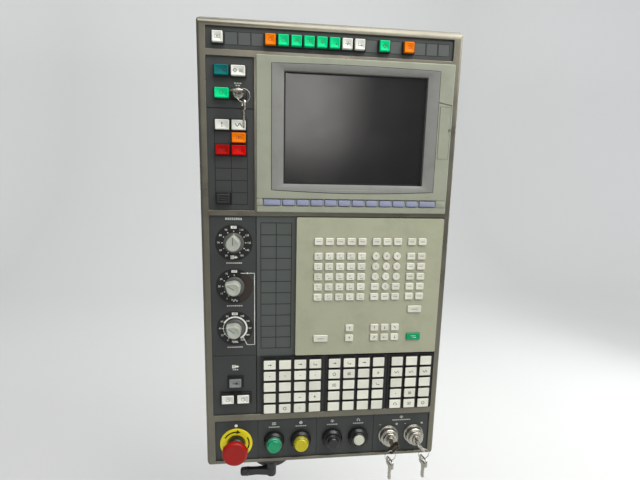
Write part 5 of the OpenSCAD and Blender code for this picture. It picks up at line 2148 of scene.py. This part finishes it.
@dataclass
class OverrideDials:
    """Three override dials: printed discs and pointed knobs."""

    radius: float = 27.5
    number_radius: float = 22.6
    tick_radius: float = 17.4
    number_size: float = 3.9
    tick_width: float = 1.2
    line_width: float = 0.8
    fine_width: float = 0.7
    first_bearing: float = -150.0
    bearing_step: float = 30.0
    plate: Pair = (8.4, 4.0)
    plate_rise: float = 0.9
    plate_size: float = 4.2
    bands: tuple[tuple[float, float, float, int, float], ...] = (
        (18.1, -62, 148, 60, 2.5), (17.6, -150, -62, 30, 0.7))
    wave_half: float = 4.6
    wave_height: float = 1.7
    wave_drop: float = 22.4
    arrow_drop: float = 22.2
    lead: Pair = (19.6, 20.4)
    tie: tuple[float, ...] = (30.2, 27.5, 18.5, 19.4, 140)
    sector: tuple[float, ...] = (15.8, 34, 158)
    rule: float = 24.0
    rule_drop: float = 3.6
    top_rule: float = 25.0
    top_rises: Pair = (9.5, 7.7)
    grip: float = 10.5
    nose: float = 15.0
    knob_front: float = -17.0
    grip_rows: Profile = ((0.25, 5.0), (0.3, 1.4), (0.6, 0.6), (1.1, 0.18), (1.8, 0.0),
                          (3.2, 0.0), (3.5, 0.15))
    grip_back: Profile = ((0.0, -1.9), (0.0, -2.4))
    skirt: Lathed = Lathed(((0, -2.3), (15.2, -2.3), (15.4, 1.3), (14.4, 2.45), (0, 2.45)))
    pointer: Profile = ((0, -1.2), (0, 10.4))
    pointer_width: float = 0.75
    tip: Pair = (13.9, 0.9)
    tip_depths: Pair = (0.9, -4.0)
    layer: float = 0.01
    dials: tuple[Dial, ...] = (
        Dial("spindle_knob", "spindle_turn", 0.0,
             (50, 60, 70, 80, 90, 100, 110, 120, 130, 140, 150)),
        Dial("rapid_knob", "rapid_turn", -58.0, (0, 10, 25, 50, 75, 100), 2, led=True),
        Dial("feed_knob", "feed_turn", -55.0,
             (0, 20, 40, 60, 80, 100, 120, 140, 160, 180, 200), 4, 2.2, banded=True),
    )

    def build(self) -> None:
        """Prints the dials and the rules round them, then adds the knobs."""
        white: list[Shell] = []
        pale: list[Shell] = []
        black: list[Shell] = []
        dark: list[Shell] = []
        for dial in self.dials:
            place = joint_place(dial.joint)
            black.append(disc(self.radius, self.face, 72).at(place))
            white += [shell.at(place) for shell in self.scale(dial)]
            if 100 in dial.numbers:
                dark.append(self.dark_number(dial).at(place))
            rule = PLATE_RULE.row(self.rule, self.face)
            pale.append(rule.at(place, up=-self.radius - self.rule_drop))
            self.knob(dial, place)
        top = joint_place("spindle_turn")
        for rise in self.top_rises:
            rule = PLATE_RULE.row(self.top_rule, self.face)
            pale.append(rule.at(top, up=self.radius + rise))
        make_piece("dial_discs", black, DIAL_FILM, "panel", "plate_slate")
        make_piece("dial_brown_sector", self.brown_sector(), DIAL_BROWN, "panel", "plate_slate")
        make_piece("dial_white_print", white + self.tie_line(), WHITE_INK, "panel",
                   "plate_slate")
        make_piece("dial_dark_figures", dark, BLACK_INK, "panel", "plate_slate")
        make_piece("dial_pale_rules", pale, PALE_INK, "panel", "plate_slate")

    @property
    def face(self) -> float:
        """Depth of the plate's face."""
        return span("override_plate").front

    @property
    def print_face(self) -> float:
        """Depth on which the print over a disc stands."""
        return self.face - INK_RISE - self.layer

    def number_place(self, number: int) -> tuple[float, Array]:
        """Returns the bearing of a number, counted from the first, and its x and z."""
        bearing = self.first_bearing + number * self.bearing_step
        return bearing, arc(self.number_radius, bearing, bearing, 1)[0]

    def dark_number(self, dial: Dial) -> Shell:
        """Returns the dark figures on a dial's white plate.

        Args:
            dial: the dial that it belongs to.

        Returns:
            The number as a thin mesh.
        """
        _, (x, z) = self.number_place(dial.numbers.index(100))
        ink = figures("100", self.plate_size, self.print_face - INK_RISE)
        return ink.moved(x, 0, z + self.plate_rise)

    def scale(self, dial: Dial) -> list[Shell]:
        """White numbers, marks and the sign at the bottom of one dial.

        The sign's height is that of its waves times the sine of the share of its width,
        times a whole turn for each wave.

        Args:
            dial: which dial.

        Returns:
            The shells about the dial's middle.
        """
        y = self.print_face
        shells = []
        start, end = self.tick_radius - 0.8, self.tick_radius + dial.reach
        tick = ribbon(line((0, start), (0, end)), self.tick_width, y)
        for i, number in enumerate(dial.numbers):
            bearing, (x, z) = self.number_place(i)
            if number == 100:
                shells.append(patch(box_outline(*self.plate), y).moved(x, 0, z + self.plate_rise))
            else:
                shells.append(figures(str(number), self.number_size, y).moved(x, 0, z))
            shells.append(tick.swung(bearing))
        if dial.banded:
            shells += [ribbon(arc(*band[:4]), band[4], y - 2 * self.layer)
                       for band in self.bands]
        if not dial.waves:
            return [*shells, block_arrow(y).moved(0, 0, -self.arrow_drop)]
        half = self.wave_half
        x = np.linspace(-half, half, 1 + 12 * dial.waves)
        z = self.wave_height * np.sin((x + half) / (2 * half) * TAU * dial.waves)
        shells.append(ribbon(np.stack([x, z - self.wave_drop], axis=1), self.fine_width, y))
        if dial.led:
            x, z = self.lead
            shells.append(ribbon(line((x - 1.8, z), (x - 9.8, z)), self.line_width, y))
        return shells

    def brown_sector(self) -> Shell:
        """Returns the plain sector of the middle dial, between two bearings on its right.

        Returns:
            The sector as a thin mesh.
        """
        inner, start, end = self.sector
        outline = np.concatenate([arc(self.radius - 0.3, start, end, 30),
                                  arc(inner, end, start, 30)])
        return patch(outline, self.face - 4 * self.layer).at(joint_place("rapid_turn"))

    def tie_line(self) -> list[Shell]:
        """Returns the line from the middle dial's right mark to the lower dial's band.

        Returns:
            The pieces of the line.
        """
        middle, lower = joint_place("rapid_turn"), joint_place("feed_turn")
        right, drop, turn, radius, bearing = self.tie
        x, z = arc(radius, bearing, bearing, 1)[0]
        start = middle[0] + self.lead[0], middle[2] + self.lead[1]
        foot = lower[2] - drop
        path = line(start, (middle[0] + right, start[1]), (middle[0] + right, foot),
                    (lower[0] + turn, foot), (lower[0] + x, lower[2] + z))
        parts = [ribbon(np.stack(ends), self.line_width, self.print_face)
                 for ends in zip(path[:-1], path[1:])]
        return [*parts, disc(1.3, self.print_face, 16).at(middle, *self.lead)]

    def teardrop(self, inset: float) -> Array:
        """Outline of the grip: a circle drawn out to a point by its two tangents.

        The radius at a bearing f is the circle's over the cosine of a - |f| where |f| is less
        than a, the angle whose cosine is the circle's radius over the nose's, and the
        circle's own elsewhere. The point is rounded by holding the radius just short of it.

        Args:
            inset: how far the outline is drawn in.

        Returns:
            Array of (x, z) points.
        """
        r, tip = self.grip - inset, self.nose - inset * 1.25
        a = math.acos(r / tip)
        f = np.linspace(-math.pi, math.pi, 73)[:-1]
        radius = np.minimum(r / np.cos(np.maximum(0, a - np.abs(f))), tip - 0.35)
        return np.stack([radius * np.sin(f), radius * np.cos(f)], axis=1)

    def knob(self, dial: Dial, place: Array) -> None:
        """Pale pointed grip on a grey skirt, with a dark line on its face.

        Args:
            dial: the dial that it turns.
            place: the knob's middle.
        """
        rows = sunk(self.knob_front, self.grip_rows, *self.grip_back)
        rings = np.stack([self.teardrop(inset) for inset, _ in rows])
        grip = lofted(stood_up(rings, [depth for _, depth in rows]))
        make_piece(f"{dial.knob}_grip", grip.swung(dial.angle).at(place), KNOB_PALE, dial.knob,
                   "knob_grey", [dial.knob], sharp=45)
        make_piece(f"{dial.knob}_skirt", self.skirt.shell().at(place), SKIRT_GREY, dial.knob,
                   "knob_grey")
        pointer = ribbon(line(*self.pointer), self.pointer_width,
                         self.knob_front + self.grip_rows[-1][1])
        rise, height = self.tip
        end = np.stack([box_outline(self.pointer_width, height)] * 2)
        front, back = self.tip_depths
        tip = lofted(stood_up(end, [self.knob_front + front, back]))
        marks = Shell.join([pointer, tip.moved(0, 0, rise)])
        make_piece(f"{dial.knob}_pointer", marks.swung(dial.angle).at(place), BLACK_INK,
                   dial.knob, "knob_grey")


@dataclass
class RoundControls:
    """Round push buttons with their bezel rings, and the stop button on its yellow plate."""

    bezel: Lathed = Lathed(((12.7, 3), (12.7, 8), (14, 8), (17, 4), (17, -2.5), (8.3, -2.5),
                            (8.3, 3)), closed=True)
    side: Profile = ((0, -8), (8, -8), (8, 7.3), (10.75, 7.3), (10.75, 15.9), (9.9, 16.95),
                     (9.3, 17))
    face_radius: float = 9.2
    proud: float = 17.0
    ridges: int = 9
    ridge: float = 0.1
    dip: float = 0.12
    rim: Lathed = Lathed(((10.85, 7.45), (12.4, 7.45), (12.4, 12), (11.3, 13.6),
                          (10.85, 13.6)), 0.4, closed=True)
    black: Lathed = Lathed(((0, -8), (8, -8), (8, 7.4), (12.4, 7.4), (12.4, 10), (9.6, 11),
                            (9.6, 15), (8.2, 17), (0, 16.7)))
    white: Lathed = Lathed(((0, -8), (8, -8), (8, 7.3), (9.1, 7.3), (9.1, 9.7), (8.3, 10.4),
                            (0, 10.0)))
    collar: Lathed = Lathed(((9.3, 7.3), (12.4, 7.3), (12.4, 9), (11.2, 10.4), (9.3, 9.3)),
                            0.4, closed=True)
    plate: Lathed = Lathed(((14.9, -2.45), (26, -2.45), (26, -1.3), (25.5, -1), (14.9, -1)),
                           0.15, closed=True, segments=96)
    stop_collar: Lathed = Lathed(((8.8, -14), (11, -14), (11, -2.5), (14.8, -2.5), (14.8, 9),
                                  (13, 11), (8.8, 11)), closed=True)
    head: Lathed = Lathed(((0, -8), (8.5, -8), (8.5, 15.5), (15, 15.5), (18.4, 17.5),
                           (20, 20.5), (20, 24.5), (18.8, 26.8), (16.5, 28), (12.5, 27.9),
                           (6, 27.5), (0, 27.4)), 1.1, segments=96, steps=5)
    arrow_radius: float = 20.6
    arrow_turn: float = 62.0
    arrow_width: float = 2.3
    arrow_size: float = 6.4
    arrow_lead: float = 80.0
    arrow_lean: float = 84.0

    def build(self) -> None:
        """Adds the rings, the two lenses, the black and white buttons and the stop button."""
        lock, release = span("lock_button").middle, span("release_button").middle
        places = [span("start_button").middle, span("hold_button").middle, lock, release]
        make_piece("bezel_rings", self.bezel.shell().repeated(places), SOCKET_BLACK, "panel",
                   "socket_black")
        self.lens("start_button", LENS_GREEN, RIM_GREEN, "lens_green")
        self.lens("hold_button", LENS_YELLOW, RIM_YELLOW, "lens_yellow")
        make_piece("black_push_button", self.black.shell().at(lock), BUTTON_BLACK,
                   "lock_button", "button_black", ["lock_button"])
        make_piece("white_button_collar", self.collar.shell().at(release), BUTTON_BLACK,
                   "release_button", "button_black")
        make_piece("white_push_button", self.white.shell().at(release), BUTTON_WHITE,
                   "release_button", "button_white", ["release_button"])
        self.stop_button()

    def lens(self, node: str, finish: LensPlastic, clear: LensPlastic, slot: str) -> None:
        """Coloured lens with fine rings moulded in its face, inside a clear rim.

        From the rim inwards the face's height is the lens's own less the ridge's height times
        the squared sine of the share of the radius times half a turn for each ridge.

        Args:
            node: the button's CAD node.
            finish, clear: finishes of the lens and of its rim.
            slot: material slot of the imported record.
        """
        share = np.linspace(1, 0, self.ridges * 6 + 1)[1:]
        ripple = self.ridge * np.sin(share * self.ridges * math.pi) ** 2
        face = np.stack([self.face_radius * share, self.proud - self.dip - ripple], axis=1)
        body = turned(np.concatenate([eased(self.side, 0.3), face]), self.rim.segments)
        place = span(node).middle
        make_piece(f"{node}_lens", body.at(place), finish, node, slot, [node], sharp=60)
        make_piece(f"{node}_clear_rim", self.rim.shell().at(place), clear, node, slot)

    def stop_button(self) -> None:
        """Yellow plate with curved arrows, dark collar and red head."""
        place = span("stop_head").middle
        face = -self.plate.points[-1][1]
        make_piece("stop_plate", self.plate.shell().at(place), STOP_YELLOW, "panel",
                   "socket_black")
        arrows = []
        for start in (-60, 60, 180):
            shaft = arc(self.arrow_radius, start, start + self.arrow_turn, 20)
            arrows.append(ribbon(shaft, self.arrow_width, face))
            end = start + self.arrow_lead
            x, z = arc(self.arrow_radius, end, end, 1)[0]
            arrows.append(patch(arrow_head(x, z, end + self.arrow_lean, self.arrow_size), face))
        make_piece("stop_plate_arrows", Shell.join(arrows).at(place), BLACK_INK, "panel",
                   "socket_black")
        make_piece("stop_collar_ring", self.stop_collar.shell().at(place), SOCKET_BLACK,
                   "panel", "socket_black")
        make_piece("stop_mushroom_head", self.head.shell().at(place), STOP_RED, "stop_head",
                   "stop_red", ["stop_head"], sharp=45)


@dataclass(frozen=True)
class Lock:
    """One key lock."""

    key: str
    joint: str
    plug_radius: float
    face: float
    plug_depth: float
    turn: float
    bow_finish: Finish


@dataclass
class KeyLocks:
    """Chromed key locks with their keys, split rings and spare keys."""

    barrel: Lathed = Lathed(((6.8, -14), (11, -14), (11, -2.5), (17, -2.5), (17, 0), (15, 0.6),
                             (15, 8), (13.5, 9.5), (12, 9.5), (12, 14), (11, 15), (6.8, 15)),
                            closed=True, segments=96)
    small_barrel: Lathed = Lathed(((4.7, -0.2), (7.5, -0.2), (7.5, 4), (6.5, 5), (4.7, 5)),
                                  0.35, closed=True)
    base_extra: float = 2.3
    base_rows: Profile = ((0.0, 4.0), (0.0, 0.4), (0.12, 0.15), (0.35, 0.03))
    bow_width: float = 20.0
    bow_length: float = 15.0
    bow_corner: float = 5.0
    bow_ease: float = 0.25
    slot_width: float = 14.0
    slot_height: float = 5.4
    slot_corner: float = 2.6
    slot_ease: float = 0.2
    slot_from_end: float = 5.0
    blade_length: float = 22.0
    blade_width: float = 7.0
    blade_overlap: float = 1.2
    blade_tip: Pair = (1.0, 2.0)
    cuts: int = 4
    cut_pitch: Pair = (5.0, 4.0)
    cut_depths: Pair = (1.1, 0.5)
    thickness: float = 2.2
    thinner: float = 0.2
    sink: float = 14.0
    keyway: Triple = (2.9, 8.6, 1.4)
    ring_radius: float = 8.8
    ring_wire: float = 0.4
    spare_turn: float = 16.0
    locks: tuple[Lock, ...] = (
        Lock("power_key", "power_turn", 4.5, 6.0, -5.0, 90.0, KEY_NICKEL),
        Lock("setup_key", "setup_turn", 6.5, 17.0, -10.0, 45.0, BOW_BROWN),
        Lock("edit_key", "edit_turn", 6.5, 17.0, -10.0, -45.0, KEY_NICKEL),
    )

    def build(self) -> None:
        """Adds bodies, plugs, keys, rings and spare keys."""
        self.bodies()
        for lock in self.locks:
            self.plug_and_key(lock)
            self.ring_and_spare(lock)

    def bodies(self) -> None:
        """Two large chromed bodies, and the small one on its black base."""
        places = [joint_place("setup_turn"), joint_place("edit_turn")]
        make_piece("lock_barrels", self.barrel.shell().repeated(places), CHROME, "panel",
                   "lock_chrome", ["lock_bodies"], sharp=45)
        small, cap = joint_place("power_turn"), span("teal_button")
        base = cushion_block(cap.width + self.base_extra, cap.height + self.base_extra, 0.9,
                             self.base_rows)
        make_piece("small_lock_base", base.at(small), SOCKET_BLACK, "panel", "socket_black")
        make_piece("small_lock_barrel", self.small_barrel.shell().at(small), CHROME, "panel",
                   "lock_chrome", sharp=45)

    def bow(self) -> Shell:
        """Key's bow as a flat ring about its slot, in the plane of y and z.

        The section of the ring runs from the outer outline, eased at both faces, to the slot.

        Returns:
            The shell, with its far end at y 0.
        """
        w, l, e, s = self.bow_width, self.bow_length, self.bow_ease, self.slot_ease
        outer = rounded_rectangle([w, w - 2 * e], [l, l - 2 * e],
                                  [self.bow_corner, self.bow_corner - e], 8)
        hole = rounded_rectangle([self.slot_width, self.slot_width + 2 * s],
                                 [self.slot_height, self.slot_height + 2 * s],
                                 [self.slot_corner, self.slot_corner + s], 8)
        hole = hole + np.array([0, self.slot_from_end - l / 2])
        t = self.thickness / 2
        order = ((outer[1], -t), (outer[0], -t + e), (outer[0], t - e), (outer[1], t),
                 (hole[1], t), (hole[0], t - s), (hole[0], -t + s), (hole[1], -t))
        rings = [np.stack([0 * o[:, 0] + x, o[:, 1] + l / 2, o[:, 0]], axis=1)
                 for o, x in order]
        return lofted(np.stack(rings), closed=True)

    def blade(self) -> Shell:
        """Key's blade with its cuts, in the plane of y and z, from the bow to the tip.

        The cut edge is a zigzag whose depth at each cut is one of two heights.

        Returns:
            The shell, in line with the bow's.
        """
        start, end = self.bow_length - self.blade_overlap, self.bow_length + self.blade_length
        w, (first, pitch) = self.blade_width / 2, self.cut_pitch
        shallow, more = self.cut_depths
        edge = [(w, start)]
        for i in range(self.cuts):
            v, depth = self.bow_length + first + i * pitch, shallow + (i % 2) * more
            edge += [(w, v - depth), (w - depth, v), (w, v + depth)]
        half, taper = self.blade_tip
        outline = line((-w, start), *edge, (w, end - taper), (half, end), (-half, end),
                       (-w, end - taper))
        t = self.thickness / 2 - self.thinner
        rings = [np.stack([0 * outline[:, 0] + x, outline[:, 1], outline[:, 0]], axis=1)
                 for x in (-t, t)]
        return lofted(np.stack(rings))

    def plug_and_key(self, lock: Lock) -> None:
        """Turning plug with a black patch of painted shade for its keyway, and the key that stands
        in it.

        Args:
            lock: nodes and place of one lock.
        """
        place = joint_place(lock.joint)
        r, face = lock.plug_radius, lock.face
        points = ((0, lock.plug_depth), (r, lock.plug_depth), (r, face - 0.4), (r - 0.4, face),
                  (0, face))
        make_piece(f"{lock.key}_plug", Lathed(points, 0.2, segments=48).shell().at(place),
                   CHROME, lock.key, "key_steel", [lock.key])
        # The keyway is a flat black patch on the plug's face: painted shade for the slot's dark
        # hole.
        width, length, spare = self.keyway
        keyway = patch(box_outline(width, min(2 * r - spare, length)), -face)
        make_piece(f"{lock.key}_keyway", keyway.swung(lock.turn).at(place), BLACK_INK,
                   lock.key, "key_steel")
        far_end = -face + self.sink - self.bow_length - self.blade_length
        bow = self.bow().moved(0, far_end, 0).swung(lock.turn).at(place)
        make_piece(f"{lock.key}_bow", bow, lock.bow_finish, lock.key, "key_steel", sharp=50)
        blade = self.blade().moved(0, far_end, 0).swung(lock.turn).at(place)
        make_piece(f"{lock.key}_blade", blade, KEY_NICKEL, lock.key, "key_steel")

    def split_ring(self) -> Array:
        """Path of a split ring: two turns of a circle that steps back by twice its wire.

        Returns:
            Points along the wire of the ring, one to a row.
        """
        a = np.linspace(0, 2 * TAU, 145)
        step = (a / (2 * TAU) - 0.5) * self.ring_wire * 2.0
        return np.stack([self.ring_radius * np.cos(a), step, self.ring_radius * np.sin(a)],
                        axis=1)

    def ring_and_spare(self, lock: Lock) -> None:
        """Split ring at the end of the bow's slot, and the spare key that hangs on it.

        Args:
            lock: nodes and place of one lock.
        """
        node = f"{lock.key}_ring"
        ring, spare = sorted(boxes_of(node), key=lambda box: -box.width)[:2]
        f = np.linspace(0, TAU, 9)[:-1]
        section = self.ring_wire * np.stack([np.cos(f), np.sin(f)], axis=1)
        coil = swept(self.split_ring(), section)
        make_piece(f"{node}_coil", coil.moved(*ring.middle), RING_STEEL, node, "key_steel",
                   [node], sharp=60)
        key = Shell.join([self.bow(), self.blade()])
        c, s = math.cos(math.radians(self.spare_turn)), math.sin(math.radians(self.spare_turn))
        turn = np.array([[c, -s, 0], [s, c, 0], [0, 0, 1]])
        hung = Shell((key.points[:, [0, 2, 1]] * np.array([1, 1, -1])) @ turn.T, key.faces)
        x, y, _ = spare.middle
        make_piece(f"{node}_spare_key", hung.moved(x, y, spare.high[2]), KEY_NICKEL, node,
                   "key_steel", sharp=50)


@dataclass
class SwivelMount:
    """Bracket, swivel disc and clamping lever below the panel."""

    bracket_edge: float = 0.8
    disc_edge: float = 0.5
    lever_edge: float = 0.7

    def build(self) -> None:
        """Eases and dresses the three nodes."""
        eased_copy("bolted_bracket", "swivel_bracket", BLACK_ENAMEL, "bracket",
                   "bracket_black", self.bracket_edge, segments=3)
        eased_copy("turning_disc", "swivel_disc", BLACK_ENAMEL, "panel", "disc_black",
                   self.disc_edge)
        eased_copy("clamping_lever", "clamp_lever", BLACK_ENAMEL, "lever", "lever_black",
                   self.lever_edge, segments=3)


@dataclass
class Innards:
    """Control case, keyboard boards and contact blocks inside the housing, out of sight."""

    edge: float = 0.15
    block_width: float = 40.0

    def build(self) -> None:
        """Dresses the case, the boards and the contact blocks by their own finishes."""
        eased_copy("control_sheet_case", "control_case", CASE_ZINC, "panel", "case_zinc",
                   self.edge)
        eased_copy("keyboard_boards", "electrics", BOARD_GREEN, "panel", "electrics_green",
                   self.edge, keep=lambda part: part.box.width > self.block_width)
        eased_copy("contact_blocks", "electrics", CAP_GREY, "panel", "electrics_green",
                   self.edge, keep=lambda part: part.box.width < self.block_width,
                   replace=False)


@dataclass(frozen=True)
class Softbox:
    """One soft lamp: its place, size, power, colour, and the point that it faces."""

    name: str
    place: Triple
    size: Pair
    power: float
    warmth: Triple
    aim: Triple = (0.09, -0.13, 0.38)

    def hang(self) -> None:
        """Makes the lamp, which the camera doesn't see."""
        data = bpy.data.lights.new(self.name, "AREA")
        data.shape = "RECTANGLE"
        data.size, data.size_y = self.size
        data.energy, data.color = self.power, self.warmth
        lamp = placed(self.name, data)
        lamp.visible_camera = False
        turn = (Vector(self.aim) - Vector(self.place)).to_track_quat("-Z", "Y")
        lamp.matrix_world = Matrix.Translation(self.place) @ turn.to_matrix().to_4x4()


@dataclass
class Studio:
    """Camera, lights, floor and surroundings."""

    place: Triple = (0.0022, -0.7425, 0.5203)
    ahead: Triple = (0.1132, 0.9791, -0.1687)
    upward: Triple = (-0.0034, 0.1702, 0.9854)
    lens: float = 22.97
    lit: float = 0.26
    seen: float = 0.8
    floor_level: float = -0.35
    floor_front: float = -6.0
    floor_end: float = 2.0
    floor_bend: float = 1.8
    wall_height: float = 7.0
    half_width: float = 9.0
    lamps: tuple[Softbox, ...] = (
        Softbox("key softbox", (1.5, -1.5, 2.0), (1.3, 1.3), 28.5, (1.0, 0.98, 0.94)),
        Softbox("top softbox", (0.5, -0.7, 2.1), (1.8, 1.5), 40.0, (1.0, 0.99, 0.96)),
        Softbox("edge softbox", (1.7, 0.5, 0.9), (0.6, 1.6), 13.0, (0.96, 0.98, 1.0)),
        Softbox("room softbox", (0.2, -3.0, 1.2), (0.8, 1.1), 10.0, (1.0, 0.97, 0.93)),
        Softbox("backdrop softbox", (0.0, 1.2, 3.1), (8.0, 1.0), 125.0, (0.98, 0.99, 1.0),
                (0.0, 3.6, 0.4)),
    )

    def build(self) -> None:
        """Sets up the whole studio."""
        bpy.context.scene.view_settings.view_transform = "Standard"
        self.camera()
        self.surroundings()
        for lamp in self.lamps:
            lamp.hang()
        self.floor()

    def camera(self) -> None:
        """Makes the camera: its local z axis points backwards along the view."""
        data = bpy.data.cameras.new("camera")
        data.lens, data.sensor_width, data.sensor_fit = self.lens, 36.0, "HORIZONTAL"
        data.clip_start, data.clip_end = 0.02, 60.0
        camera = placed("camera", data)
        ahead = Vector(self.ahead).normalized()
        right = ahead.cross(Vector(self.upward)).normalized()
        axes = Matrix((right, right.cross(ahead), -ahead)).transposed()
        camera.matrix_world = Matrix.Translation(self.place) @ axes.to_4x4()
        bpy.context.scene.camera = camera

    def surroundings(self) -> None:
        """Pale surroundings that light dimly, and look brighter to the camera."""
        world = bpy.data.worlds.new("studio")
        world.use_nodes = True
        nodes, links = world.node_tree.nodes, world.node_tree.links
        lighting = nodes["Background"]
        seen = nodes.new("ShaderNodeBackground")
        ray, mix = nodes.new("ShaderNodeLightPath"), nodes.new("ShaderNodeMixShader")
        for sky, strength in ((lighting, self.lit), (seen, self.seen)):
            sky.inputs["Color"].default_value = SKY
            sky.inputs["Strength"].default_value = strength
        links.new(ray.outputs["Is Camera Ray"], mix.inputs[0])
        links.new(lighting.outputs[0], mix.inputs[1])
        links.new(seen.outputs[0], mix.inputs[2])
        links.new(mix.outputs[0], nodes["World Output"].inputs["Surface"])
        bpy.context.scene.world = world

    def floor(self) -> None:
        """Wide pale floor that curves up into a plain backdrop behind the panel.

        Its profile is straight, then a quarter circle, then straight up.
        """
        bend = np.linspace(0.0, np.pi / 2, 33)
        end, radius = self.floor_end, self.floor_bend
        y = np.concatenate(([self.floor_front], end + radius * np.sin(bend), [end + radius]))
        rise = np.concatenate(([0.0], radius * (1.0 - np.cos(bend)), [self.wall_height]))
        x = np.repeat([-self.half_width, self.half_width], len(y))
        points = np.column_stack((x, np.tile(y, 2), np.tile(self.floor_level + rise, 2)))
        k = np.arange(len(y) - 1)
        faces = np.column_stack((k, k + len(y), k + len(y) + 1, k + 1))
        mesh = bpy.data.meshes.new("studio_floor")
        mesh.from_pydata(points.tolist(), [], faces.tolist())
        mesh.shade_smooth()
        mesh.materials.append(Ground("studio floor", tone(206, 207, 206)).material())
        placed("studio_floor", mesh)


def main() -> None:
    """Makes the studio and every sub-assembly."""
    logging.basicConfig(level=logging.INFO, format="%(name)s: %(message)s")
    for assembly in (Studio(), CastFrame(), SwitchPlates(), PanelPrint(), DisplayUnit(),
                     KeyboardUnit(), KeyMatrix(), LampButtons(), OverrideDials(),
                     RoundControls(), KeyLocks(), SwivelMount(), Innards()):
        LOG.info("building %s", type(assembly).__name__)
        assembly.build()


if __name__ == "__main__":
    main()
